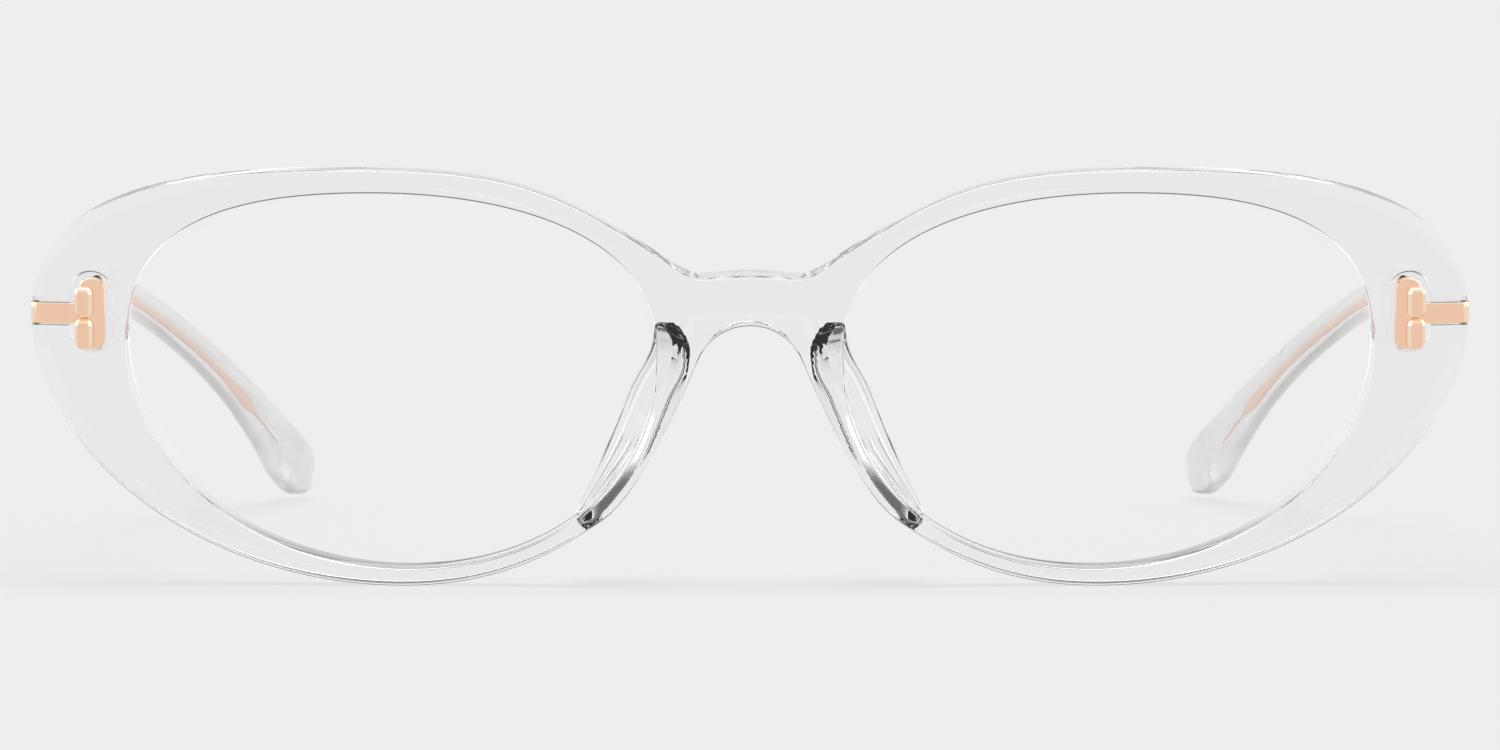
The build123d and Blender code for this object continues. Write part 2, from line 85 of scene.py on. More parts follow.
# Outer edge: points as shares of the half width and of the rim's top or bottom
SADDLE_SHARES = (0.071, 0.98)
SADDLE_HANDLE_SHARES = (0.024, 0.022, 0.018)
BROW_SHARES = (0.145, 0.642)
BROW_ANGLE = radians(32.0)
BROW_HANDLE_SHARES = (0.031, 0.140)
CROWN_SHARE = 0.519
CROWN_HANDLE_SHARES = (0.51, 0.56)
END_HEIGHT_SHARE = 0.286
END_HANDLE_SHARES = (0.84, 0.51)
FOOT_SHARE = 0.492
FOOT_HANDLE_SHARES = (0.55, 0.50)
CHEEK_SHARES = (0.204, -0.668)
CHEEK_ANGLE = radians(-35.0)
CHEEK_HANDLE_SHARES = (0.060, 0.080)
ARCH_SHARES = (0.071, 0.119)
ARCH_ANGLE = radians(-69.0)
ARCH_HANDLE_SHARES = (0.037, 0.024, 0.072)

# Profiles across an edge, as shares of its width and of its depth: a plain round, and the brow's bevel,
# which sets in and fades out over these turns about the middle of the lens. The middle point of a small bevel
# lies at the soft share of it.
ROUND_SHARES = [(1 - sin(a), 1 - cos(a)) for a in (radians(15 * step) for step in range(7))]
BEVEL_SHARES = ((1.0, 0.0), (0.97, 0.012), (0.62, 0.20), (0.29, 0.38), (0.13, 0.53), (0.03, 0.74),
                (0.0, 1.0))
BEVEL_START = (0.035, 0.06)
BEVEL_FADE = (0.19, 0.27)
SOFT_SHARE = 0.3

# Mesh of the front: steps down its seam in the middle, depth shares of the openings' walls, how much finer
# an opening is drawn first, and the distance within which points are joined, in metres
SEAM_STEPS = 5
WALL_SHARES = (0.35, 0.65)
OPENING_FINENESS = 8
WELD_DISTANCE = 1e-7

# Lenses: the shares of the radius at which the mesh has its rings, and the index that gives the coating's
# sheen
LENS_RADIUS = 130.0 * MM
LENS_THICKNESS = 2.0 * MM
LENS_SPACING = 0.9 * MM
LENS_RINGS = (0.02, 0.2, 0.4, 0.6, 0.8, 0.93, 1.0)
LENS_EDGE_FACING = 0.5
COATING_INDEX = 1.22

# Nose pads: share of the height, nose side of the front edge and outer side of the back edge as shares
# of half the bridge gap, depth share, thickness share
PAD_TOP = 5.7 * MM
PAD_HEIGHT = 20.3 * MM
PAD_DEPTH = 8.2 * MM
PAD_THICKNESS = 2.2 * MM
PAD_OVERLAP = 1.0 * MM
PAD_EDGE = 0.35 * MM
PAD_EDGE_ANGLES = (90, 65, 40, 20)
PAD_LEAST_CORNER = 0.05 * MM
PAD_CORNER_STEPS = 6
PAD_ROWS = 34
PAD_ROUND_SHARE = 0.28
PAD_SHARES = (
    (0.000, 0.660, 0.980, 0.10, 0.60),
    (0.060, 0.600, 1.000, 0.38, 0.68),
    (0.113, 0.565, 1.010, 0.64, 0.75),
    (0.211, 0.592, 1.060, 0.84, 0.90),
    (0.379, 0.735, 1.250, 1.00, 1.00),
    (0.574, 0.978, 1.425, 0.97, 1.00),
    (0.778, 1.300, 1.615, 0.85, 0.95),
    (0.920, 1.550, 1.800, 0.68, 0.72),
    (1.000, 1.690, 1.900, 0.54, 0.42),
)

# Corner trims: the hinge's height, how far the metalwork in front of it sits lower, then the plate, the beads
# with their section and ends as shares of width and length, and the bar. Faces that look this squarely to the
# front get a paler colour, a painted highlight as if they caught the light.
HINGE_HEIGHT = 6.65 * MM
TRIM_DROP = 0.4 * MM
TRIM_MIDDLE = HINGE_HEIGHT - TRIM_DROP
PLATE_INNER = 62.98 * MM
PLATE_WIDTH = 2.58 * MM
PLATE_HEIGHT = 7.1 * MM
PLATE_ROUND_SHARE = 0.45
PLATE_DEPTH = 0.75 * MM
PLATE_PROUD = 0.15 * MM
PLATE_BEVEL = 0.14 * MM
PLATE_CORNER_STEPS = 9
BEAD_WIDTH = 1.84 * MM
BEAD_LENGTH = 3.05 * MM
BEAD_GAP = 0.06 * MM
BEAD_DROP = 0.42 * MM
BEAD_RISE = 0.62 * MM
BEAD_OVERLAP_SHARE = 0.3
BEAD_FACE = 0.34
BEAD_SECTION = ((-0.5, -0.35), (-0.5, 0.20), (-0.31, BEAD_FACE), (0.31, BEAD_FACE), (0.5, 0.20), (0.5, -0.35))
BEAD_ENDS = ((-1.0, 0.40, 0.22), (-0.95, 0.56, 0.12), (-0.87, 0.74, 0.04), (-0.73, 0.90, 0.0),
             (-0.5, 0.99, 0.0), (0.5, 0.99, 0.0), (0.73, 0.90, 0.0), (0.87, 0.74, 0.04),
             (0.95, 0.56, 0.12), (1.0, 0.40, 0.22))
BAR_HEIGHT = 2.05 * MM
BAR_DEPTH = 0.7 * MM
BAR_PROUD = 0.1 * MM
BAR_BEVEL = 0.1 * MM
BAR_TURN = 0.75 * MM
BAR_START_SHARE = 0.6
BAR_STEPS = 6
WRAP_STEPS = 3
WRAP_END = 3.3 * MM
HIGHLIGHT_FACING = (0.35, 0.93)

# Seats of the trims in the front: gaps at the inner, outer, upper and lower side of the pocket
POCKET_GAPS = (0.75 * MM, 0.9 * MM, 0.55 * MM, 0.2 * MM)
POCKET_ROUND_SHARE = 0.49
POCKET_LIP = 0.28 * MM
POCKET_LIP_OVERLAP = 0.004 * MM
POCKET_CORNER = 0.1 * MM
POCKET_CORNER_STEPS = 10
SLOT_CLEARANCE = 0.2 * MM
SEAT_CLEARANCE = 0.03 * MM
CUTTER_OVERRUN = 2.0 * MM
SLOT_OVERRUN = 5.0 * MM

# Temples: each station has shares of depth, inset and drop, a section and shares of its height and
# thickness; each station of the core has shares of depth, height, thickness and shift to the inner side
HINGE_REACH = 65.2 * MM
HINGE_STANDOFF = 2.28 * MM
INNER_FACE_OFFSET = 1.45 * MM
TEMPLE_LEAD = 3.4 * MM
TEMPLE_DEPTH = 134.0 * MM
TEMPLE_INSET = 15.5 * MM
TEMPLE_DROP = 25.3 * MM
BUTT_GAP = 0.15 * MM
BUTT_LIP = 0.25 * MM
BUTT_MARGIN = 0.4 * MM
BUTT_PASSES = 6
SAWN_MARGIN = 0.1 * MM
TIP_ANGLES = (25, 50, 72, 88)
TIP_REACH_SHARE = 0.05
HINGE_SECTION = (5.2 * MM, 3.4 * MM)
SHAFT_SECTION = (3.6 * MM, 2.8 * MM)
TIP_SECTION = (6.6 * MM, 4.4 * MM)
TEMPLE_CORNER_SHARE = 0.42
CORE_HEIGHT = 0.85 * MM
CORE_THICKNESS = 0.55 * MM
CORE_SHIFT = 0.8 * MM
CORE_RINGS = 90
CORE_CORNER_STEPS = 3
CORE_PATH_STEPS = 240
CORE_SHARES = (
    (0.072, 1.00, 1.0, 0.88),
    (0.115, 1.00, 1.0, 0.80),
    (0.200, 1.00, 1.0, 0.30),
    (0.350, 1.00, 1.0, 0.0),
    (0.550, 1.00, 1.0, 0.0),
    (0.700, 1.00, 1.0, 0.0),
    (0.790, 1.10, 1.0, 0.0),
    (0.815, 1.60, 1.1, 0.0),
    (0.850, 1.65, 1.1, 0.0),
    (0.865, 0.60, 0.7, 0.0),
    (0.920, 0.30, 0.35, 0.0),
)
STATION_SHARES = (
    (0.000, 0.000, 0.000, HINGE_SECTION, 1.0, 1.0),
    (0.070, 0.000, 0.007, HINGE_SECTION, 1.0, 1.0),
    (0.115, 0.000, 0.014, HINGE_SECTION, 1.0, 1.0),
    (0.200, 0.004, 0.024, HINGE_SECTION, 0.86, 0.92),
    (0.350, 0.018, 0.046, SHAFT_SECTION, 1.0, 1.0),
    (0.550, 0.062, 0.084, SHAFT_SECTION, 1.0, 1.0),
    (0.640, 0.190, 0.185, SHAFT_SECTION, 1.0, 1.0),
    (0.730, 0.400, 0.345, SHAFT_SECTION, 1.03, 1.05),
    (0.830, 0.635, 0.565, SHAFT_SECTION, 1.22, 1.18),
    (0.900, 0.795, 0.745, TIP_SECTION, 0.84, 0.88),
    (0.950, 0.902, 0.880, TIP_SECTION, 1.0, 1.0),
    (0.985, 0.970, 0.965, TIP_SECTION, 0.80, 0.82),
    (1.000, 1.000, 1.000, TIP_SECTION, 0.42, 0.45),
)

# Angles between faces, in degrees, from which an edge is drawn sharp
FRONT_CREASE = 35.0
LENS_CREASE = 30.0
TEMPLE_CREASE = 50.0
TRIM_CREASE = 20.0

# Polishing marks: their inputs, and for each metal finish its colour, the share of it in the darker tone,
# then the marks' scale, stretch, least and most roughness, and height in metres
MARK_INPUTS = {"Scale": 600.0, "Stretch": 1.0, "Least": 0.0, "Most": 0.05}
METAL_FINISHES = {
    "polished rose gold plate": ("rose_gold", 0.96, (1500.0, 0.25, 0.12, 0.20, 0.000001)),
    # The paler colour on the trims' front-facing bevels is a painted highlight; their lower roughness is real
    # polish
    "bright-cut rose gold": ("bright_cut", 0.97, (1500.0, 0.25, 0.08, 0.14, 0.0)),
    "satin rose gold core wire": ("rose_gold", 0.9, (900.0, 0.3, 0.42, 0.55, 0.0)),
    "satin rose gold plate": ("rose_gold", 0.8, (2600.0, 0.15, 0.22, 0.38, 0.000008)),
    "turned stainless steel": ("steel", 0.85, (1800.0, 4.0, 0.18, 0.32, 0.000005)),
}

# Solids that are carried over: their finish, and whether they show through the clear front
CARRIED_FINISHES = (
    ("hinge_front_leaf_", "satin rose gold plate", False),
    ("hinge_temple_leaf_", "satin rose gold plate", False),
    ("hinge_screw_", "turned stainless steel", False),
    ("trim_rivets_", "polished rose gold plate", True),
)

# Studio: how far aside or ahead a direction points, from 0 to 1, where the surroundings change
CORNER_ASIDE = (0.35, 0.55)
BESIDE_ASIDE = (0.25, 0.75)
BEHIND_AHEAD = (0.45, 0.75)
TABLE_REACH = 12.0
SENSOR_WIDTH = 36.0


def shell_y(x, depth):
    """How far back the front's curved layer at this depth lies at x."""
    return WRAP_RADIUS - sqrt((WRAP_RADIUS - depth) ** 2 - x * x)


def hinge_joint():
    """The left temple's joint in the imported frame."""
    return next(joint for joint in frame["joints"] if joint["name"] == "temple_left_fold")


def standing():
    """The place of the upright front in the row's frame, worked out from the left hinge."""
    _, y, z = hinge_joint()["pos_m"]
    behind = shell_y(HINGE_REACH, THICKNESS)
    turn = Matrix.Rotation(TILT, 4, "X")
    point = turn @ Vector((HINGE_REACH, behind, HINGE_HEIGHT))
    return Matrix.Translation((0, y - HINGE_STANDOFF - point.y, z - point.z)) @ turn


PLACE = standing()
UPRIGHT = PLACE.to_3x3().inverted()


def between(start, end, share):
    """The value at a share of the way from start to end."""
    return start + share * (end - start)


def aim(x, z, angle, reach):
    """The point at this reach from another, in a direction."""
    return (x + reach * cos(angle), z + reach * sin(angle))


def run(handles, spacing):
    """Points along Bezier curves with their outward normals, without each curve's last point."""
    columns = []
    for curve in handles:
        a, b, c, d = (np.array(point, float) for point in curve)
        length = sum(np.linalg.norm(q - p) for p, q in ((a, b), (b, c), (c, d)))
        steps = max(3, ceil(length / spacing))
        for step in range(steps):
            t = step / steps
            s = 1 - t
            point = s ** 3 * a + 3 * s * s * t * b + 3 * s * t * t * c + t ** 3 * d
            slope = s * s * (b - a) + 2 * s * t * (c - b) + t * t * (d - c)
            slope /= np.linalg.norm(slope)
            columns.append((point[0], point[1], -slope[1], slope[0]))
    return columns


def opening_run(spacing):
    """The edge of the +X opening, clockwise from its nose side."""
    inner, outer = BRIDGE_GAP / 2, BRIDGE_GAP / 2 + LENS_WIDTH
    top, bottom = LENS_HEIGHT / 2, -LENS_HEIGHT / 2
    nasal = (inner, NASAL_HEIGHT_SHARE * LENS_HEIGHT)
    crown = (inner + TOP_SIDE_SHARE * LENS_WIDTH, top)
    corner = (outer, CORNER_HEIGHT_SHARE * LENS_HEIGHT)
    foot = (inner + BOTTOM_SIDE_SHARE * LENS_WIDTH, bottom)
    a, b, c, d, e, f, g, h = OPENING_HANDLE_SHARES
    return run((
        (nasal, (inner, between(nasal[1], top, a)), (between(crown[0], inner, b), top), crown),
        (crown, (between(crown[0], outer, c), top), (outer, between(corner[1], top, d)), corner),
        (corner, (outer, between(corner[1], bottom, e)), (between(foot[0], outer, f), bottom), foot),
        (foot, (between(foot[0], inner, g), bottom), (inner, between(nasal[1], bottom, h)), nasal),
    ), spacing)


def outline_run(spacing):
    """The outer edge of the +X half, from the top of the bridge round to its underside."""
    width = HALF_WIDTH
    saddle = (SADDLE_SHARES[0] * width, SADDLE_SHARES[1] * BRIDGE_TOP)
    brow = (BROW_SHARES[0] * width, BROW_SHARES[1] * RIM_TOP)
    crown = (CROWN_SHARE * width, RIM_TOP)
    end = (width, END_HEIGHT_SHARE * RIM_TOP)
    foot = (FOOT_SHARE * width, -RIM_BOTTOM)
    cheek = (CHEEK_SHARES[0] * width, CHEEK_SHARES[1] * RIM_BOTTOM)
    arch = (ARCH_SHARES[0] * width, ARCH_SHARES[1] * RIM_BOTTOM)
    flat, dip, rise = [share * width for share in SADDLE_HANDLE_SHARES]
    roof, drop, fall = [share * width for share in ARCH_HANDLE_SHARES]
    columns = run((
        ((0, BRIDGE_TOP), (flat, BRIDGE_TOP), (saddle[0] - dip, saddle[1]), saddle),
        (saddle, (saddle[0] + rise, saddle[1]), aim(*brow, BROW_ANGLE, -BROW_HANDLE_SHARES[0] * width), brow),
        (brow, aim(*brow, BROW_ANGLE, BROW_HANDLE_SHARES[1] * width),
         (crown[0] - CROWN_HANDLE_SHARES[0] * (crown[0] - brow[0]), RIM_TOP), crown),
        (crown, (crown[0] + CROWN_HANDLE_SHARES[1] * (width - crown[0]), RIM_TOP),
         (width, end[1] + END_HANDLE_SHARES[0] * (RIM_TOP - end[1])), end),
        (end, (width, end[1] - END_HANDLE_SHARES[1] * (end[1] + RIM_BOTTOM)),
         (foot[0] + FOOT_HANDLE_SHARES[0] * (width - foot[0]), -RIM_BOTTOM), foot),
        (foot, (foot[0] - FOOT_HANDLE_SHARES[1] * (foot[0] - cheek[0]), -RIM_BOTTOM),
         aim(*cheek, CHEEK_ANGLE, CHEEK_HANDLE_SHARES[1] * width), cheek),
        (cheek, aim(*cheek, CHEEK_ANGLE, -CHEEK_HANDLE_SHARES[0] * width),
         aim(*arch, ARCH_ANGLE, fall), arch),
        (arch, aim(*arch, ARCH_ANGLE, -drop), (roof, BRIDGE_UNDERSIDE), (0, BRIDGE_UNDERSIDE)),
    ), spacing)
    return columns + [(0.0, BRIDGE_UNDERSIDE, 0.0, -1.0)]


def angle_at(x, z, height=0.0):
    """Direction from the middle of the lens, or from above it, in turns anticlockwise from straight out."""
    return float(np.arctan2(z - height, x - LENS_CENTRE)) / (2 * pi) % 1.0


def smoothstep(low, high, value):
    """0 below low and 1 above high, with a smooth rise between."""
    t = min(max((value - low) / (high - low), 0.0), 1.0)
    return t * t * (3 - 2 * t)


def back_y(x):
    """The back of the front, with its thicker bridge."""
    plain = shell_y(x, THICKNESS)
    radius = (BULGE_HALF_WIDTH ** 2 + BULGE ** 2) / (2 * BULGE)
    inside = radius ** 2 - x * x
    if inside <= 0 or abs(x) >= 2 * BULGE_HALF_WIDTH:
        return plain
    gap = THICKNESS + BULGE - radius + sqrt(inside) - plain
    return plain + 0.5 * (gap + sqrt(gap * gap + BULGE_SOFTNESS ** 2))


def front_point(x, z, share):
    """A point of the front at a share of its depth."""
    near = shell_y(x, 0.0)
    return (x, near + share * (back_y(x) - near), z)


def make_mesh(name, points, faces):
    """A mesh from points and faces, checked for faults."""
    mesh = bpy.data.meshes.new(name)
    mesh.from_pydata([tuple(point) for point in points], [], faces)
    mesh.validate()
    mesh.update()
    return mesh


def grid_faces(rows, closed):
    """Quads between neighbouring rows of vertex numbers."""
    faces = []
    for lower, upper in zip(rows, rows[1:]):
        count = len(lower)
        for i in range(count if closed else count - 1):
            j = (i + 1) % count
            faces.append((lower[i], lower[j], upper[j], upper[i]))
    return faces


def front_half(sizes):
    """Points and faces of the +X half of the front."""
    outline = outline_run(sizes.spacing)
    fine = opening_run(sizes.spacing / OPENING_FINENESS)
    turns = np.array([angle_at(column[0], column[1], BRIDGE_UNDERSIDE) for column in fine])
    order = np.argsort(turns)
    table = np.array(fine)[order]
    turns = turns[order]
    points = []

    def add(x, z, share):
        points.append(front_point(x, z, share))
        return len(points) - 1

    def opening_at(turn):
        """Point and normal of the opening's edge in a direction."""
        x, z, nx, nz = [np.interp(turn, turns, table[:, k], period=1.0) for k in range(4)]
        size = hypot(nx, nz)
        return x, z, nx / size, nz / size

    def edge(x, z, step, front):
        """Inset and depth share at one step of the outer profile."""
        inset, depth = ROUND_SHARES[step]
        if not front:
            return inset * sizes.back_round, depth * sizes.back_round / THICKNESS
        turn = angle_at(x, z)
        weight = smoothstep(*BEVEL_START, turn) * (1 - smoothstep(*BEVEL_FADE, turn))
        inset = between(inset * sizes.edge_round, BEVEL_SHARES[step][0] * sizes.bevel_width, weight)
        depth = between(depth * sizes.edge_round, BEVEL_SHARES[step][1] * sizes.bevel_depth, weight)
        return inset, depth / THICKNESS

    steps = range(len(ROUND_SHARES))
    rims, loops, holes = {}, {}, {}
    for front in (True, False):
        for step in steps:
            row = []
            for x, z, nx, nz in outline:
                inset, depth = edge(x, z, step, front)
                row.append(add(max(x - nx * inset, 0.0), z - nz * inset, depth if front else 1 - depth))
            rims[front, step] = row
    for front in (True, False):
        row = list(rims[front, 0])
        top, bottom = points[row[0]][2], points[row[-1]][2]
        for step in range(1, SEAM_STEPS):
            row.append(add(0.0, between(bottom, top, step / SEAM_STEPS), 0.0 if front else 1.0))
        loops[front] = row
    aligned = [opening_at(angle_at(points[i][0], points[i][2], BRIDGE_UNDERSIDE)) for i in loops[True]]
    for front in (True, False):
        radius = sizes.opening_round if front else sizes.back_round
        for step in steps:
            inset, depth = [share * radius for share in ROUND_SHARES[step]]
            depth /= THICKNESS
            holes[front, step] = [add(x + nx * inset, z + nz * inset, depth if front else 1 - depth)
                                  for x, z, nx, nz in aligned]
    faces = []
    for front in (True, False):
        outer, inner = loops[front], holes[front, 0]
        rows = [outer]
        for step in range(1, sizes.rows):
            row = []
            for i, j in zip(outer, inner):
                x, z = [between(points[i][k], points[j][k], step / sizes.rows) for k in (0, 2)]
                row.append(add(x, z, 0.0 if front else 1.0))
            rows.append(row)
        face = grid_faces(rows + [inner], True)
        rim = grid_faces([rims[front, step] for step in steps], False)
        hole = grid_faces([holes[front, step] for step in steps], True)
        for made, outward in ((face, front), (rim, not front), (hole, front)):
            faces += made if outward else [corners[::-1] for corners in made]
    faces += grid_faces([rims[False, steps[-1]], rims[True, steps[-1]]], False)
    walls = [[add(x, z, share) for x, z, _, _ in aligned] for share in WALL_SHARES]
    faces += grid_faces([holes[True, steps[-1]], *walls, holes[False, steps[-1]]], True)
    return points, faces


def mirrored(points, faces):
    """The points and faces with their mirror image across the middle."""
    count = len(points)
    points = list(points) + [(-x, y, z) for x, y, z in points]
    faces = list(faces) + [tuple(i + count for i in face[::-1]) for face in faces]
    return points, faces


def weld(mesh):
    """Join the points that coincide, and turn all faces outwards."""
    work = bmesh.new()
    work.from_mesh(mesh)
    bmesh.ops.remove_doubles(work, verts=work.verts, dist=WELD_DISTANCE)
    bmesh.ops.recalc_face_normals(work, faces=work.faces)
    work.to_mesh(mesh)
    work.free()


def place(points):
    """Points of the upright front, moved to where it stands."""
    return [PLACE @ Vector(point) for point in points]


def spline_rows(rows, count):
    """Rows of numbers run through smoothly, by their first column."""
    rows = np.array(rows, float)
    key = rows[:, 0]
    slopes = np.gradient(rows, key, axis=0)
    result = []
    for t in np.linspace(key[0], key[-1], count):
        i = min(max(int(np.searchsorted(key, t)) - 1, 0), len(key) - 2)
        width = key[i + 1] - key[i]
        u = (t - key[i]) / width
        result.append((2 * u ** 3 - 3 * u ** 2 + 1) * rows[i] + (u ** 3 - 2 * u ** 2 + u) * width * slopes[i]
                      + (3 * u ** 2 - 2 * u ** 3) * rows[i + 1] + (u ** 3 - u ** 2) * width * slopes[i + 1])
    return result


def tube(rings):
    """A closed skin through rings of as many points each."""
    points = [point for ring in rings for point in ring]
    count = len(rings[0])
    rows = [list(range(k * count, (k + 1) * count)) for k in range(len(rings))]
    return points, grid_faces(rows, True) + [tuple(reversed(rows[0])), tuple(rows[-1])]


def pad_rings():
    """Level rings of the left nose pad in the upright front, from its top down."""
    half_gap = BRIDGE_GAP / 2
    rows = spline_rows(PAD_SHARES, PAD_ROWS)
    turns = [radians(angle) for angle in PAD_EDGE_ANGLES]
    levels = [(rows[0], PAD_EDGE * (1 - cos(a)), PAD_TOP - PAD_EDGE * (1 - sin(a))) for a in turns]
    levels += [(row, 0.0, PAD_TOP - row[0] * PAD_HEIGHT) for row in rows
               if PAD_EDGE < row[0] * PAD_HEIGHT < PAD_HEIGHT - PAD_EDGE]
    levels += [(rows[-1], PAD_EDGE * (1 - cos(a)), PAD_TOP - PAD_HEIGHT + PAD_EDGE * (1 - sin(a)))
               for a in reversed(turns)]
    rings = []
    for (_, nose, back, depth, thick), inset, z in levels:
        thickness = PAD_THICKNESS * thick
        front_x = nose * half_gap + thickness / 2
        near = shell_y(front_x, THICKNESS)
        start = Vector((front_x, near - PAD_OVERLAP))
        end = Vector((back * half_gap - thickness / 4, near + depth * PAD_DEPTH))
        along = (end - start).normalized()
        across = Vector((-along.y, along.x))
        middle = (start + end) / 2
        length = (end - start).length + thickness / 2
        corner = max(PAD_ROUND_SHARE * thickness - inset, PAD_LEAST_CORNER)
        shape = pill_loop(-length / 2 + inset, length - 2 * inset, -thickness / 2 + inset,
                          thickness - 2 * inset, corner, PAD_CORNER_STEPS)
        rings.append([(middle.x + along.x * a + across.x * b, middle.y + along.y * a + across.y * b, z)
                      for a, b, _, _ in shape])
    return rings


def pill_loop(inner, width, bottom, height, corner, steps):
    """An upright outline with rounded corners, with its normals."""
    left, right = inner + corner, inner + width - corner
    low, high = bottom + corner, bottom + height - corner
    loop = []
    for turn, (x, z) in enumerate(((right, high), (left, high), (left, low), (right, low))):
        for i in range(steps + 1):
            a = 0.5 * pi * turn + 0.5 * pi * i / steps
            loop.append((x + corner * cos(a), z + corner * sin(a), cos(a), sin(a)))
    return loop


def slab(loop, profile):
    """A closed plate whose edge follows a profile of outset and depth, bent like the front."""
    rings = [[(x + nx * out, shell_y(x + nx * out, depth), z + nz * out) for x, z, nx, nz in loop]
             for out, depth in profile]
    return tube(rings)


def pocket_cutter():
    """What is cut from the front round the left trim's plate, with a rounded lip."""
    inner_gap, outer_gap, upper_gap, lower_gap = POCKET_GAPS
    width = inner_gap + PLATE_WIDTH + outer_gap
    height = PLATE_HEIGHT + upper_gap + lower_gap
    loop = pill_loop(PLATE_INNER - inner_gap, width, TRIM_MIDDLE - PLATE_HEIGHT / 2 - lower_gap, height,
                     POCKET_ROUND_SHARE * width, POCKET_CORNER_STEPS)
    floor = PLATE_DEPTH + SEAT_CLEARANCE
    lip = [(inset * POCKET_LIP, depth * POCKET_LIP - POCKET_LIP_OVERLAP) for inset, depth in ROUND_SHARES]
    return slab(loop, [(POCKET_LIP, -CUTTER_OVERRUN), *lip, (0.0, floor - POCKET_CORNER),
                       (-POCKET_CORNER, floor)])


def slot_cutter():
    """What is cut from the front for the left trim's bar."""
    low = TRIM_MIDDLE - BAR_HEIGHT / 2 - SLOT_CLEARANCE
    high = TRIM_MIDDLE + BAR_HEIGHT / 2 + SLOT_CLEARANCE
    start, notch = PLATE_INNER + PLATE_WIDTH, HALF_WIDTH - BAR_DEPTH - SEAT_CLEARANCE
    reach, before = HALF_WIDTH + SLOT_OVERRUN, -CUTTER_OVERRUN
    floor, end = BAR_DEPTH + SEAT_CLEARANCE, WRAP_END + SEAT_CLEARANCE
    corners = ((start, before), (reach, before), (reach, end), (notch, end), (notch, floor), (start, floor))
    return tube([[(x, shell_y(x, depth), z) for x, depth in corners] for z in (low, high)])


def piece(name, mesh):
    """A new object in the scene."""
    thing = bpy.data.objects.new(name, mesh)
    bpy.context.scene.collection.objects.link(thing)
    return thing


def welded_piece(name, points, faces):
    """A new closed object from points in the row's frame."""
    mesh = make_mesh(name, points, faces)
    weld(mesh)
    return piece(name, mesh)


def on_side(skin, sign):
    """A left-hand skin, or with a sign below zero its mirror image."""
    points, faces = skin
    return [(sign * x, y, z) for x, y, z in points], faces


def joined(skins):
    """One list of points and faces for several closed skins."""
    points, faces = [], []
    for some, made in skins:
        base = len(points)
        points += some
        faces += [tuple(i + base for i in face) for face in made]
    return points, faces


def applied(thing, others):
    """Cut or join other shapes into a piece, and drop them."""
    for other, kind in others:
        step = thing.modifiers.new("step", "BOOLEAN")
        step.operation = kind
        step.solver = "EXACT"
        step.object = other
    graph = bpy.context.evaluated_depsgraph_get()
    mesh = bpy.data.meshes.new_from_object(thing.evaluated_get(graph), depsgraph=graph)
    thing.modifiers.clear()
    old = thing.data
    thing.data = mesh
    bpy.data.meshes.remove(old)
    for other, _ in others:
        spare = other.data
        bpy.data.objects.remove(other)
        bpy.data.meshes.remove(spare)


def finish_piece(thing, material, body, replaced, crease):
    """Give a piece its finish and shading, its body and the nodes that it replaces."""
    mesh = thing.data
    mesh.materials.clear()
    mesh.materials.append(material)
    for polygon in mesh.polygons:
        polygon.use_smooth = True
    mesh.set_sharp_from_angle(angle=radians(crease))
    even = thing.modifiers.new("even shading", "WEIGHTED_NORMAL")
    even.keep_sharp = True
    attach(thing, body)
    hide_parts(*replaced)


def refinish(thing, material, chosen):
    """Give the faces that pass a test another finish."""
    thing.data.materials.append(material)
    for polygon in thing.data.polygons:
        if chosen(polygon):
            polygon.material_index = 1


def facing(polygon):
    """How squarely a face looks to the front or the back, from 0 to 1."""
    return abs((UPRIGHT @ polygon.normal).y)


def new_material(name, inputs, marks=None, tones=None):
    """A material of one Principled shader with these inputs and, where given, polishing marks."""
    material = bpy.data.materials.new(name)
    material.use_nodes = True
    nodes = material.node_tree.nodes
    nodes.clear()
    out = nodes.new("ShaderNodeOutputMaterial")
    shader = nodes.new("ShaderNodeBsdfPrincipled")
    material.node_tree.links.new(shader.outputs[0], out.inputs[0])
    for socket, value in inputs.items():
        shader.inputs[socket].default_value = value
    if marks:
        add_marks(material, shader, marks, tones)
    return material


def spread(nodes, links, value, start, end, low, high):
    """A value mapped smoothly from one range to another."""
    node = nodes.new("ShaderNodeMapRange")
    node.interpolation_type = "SMOOTHSTEP"
    for name, number in (("From Min", start), ("From Max", end), ("To Min", low), ("To Max", high)):
        node.inputs[name].default_value = number
    links.new(value, node.inputs["Value"])
    return node.outputs[0]


def blended(nodes, links, share, first, second):
    """A mix of two values by a share, each a number or a socket."""
    node = nodes.new("ShaderNodeMix")
    links.new(share, node.inputs[0])
    for socket, value in ((node.inputs[2], first), (node.inputs[3], second)):
        if isinstance(value, (int, float)):
            socket.default_value = value
        else:
            links.new(value, socket)
    return node.outputs[0]


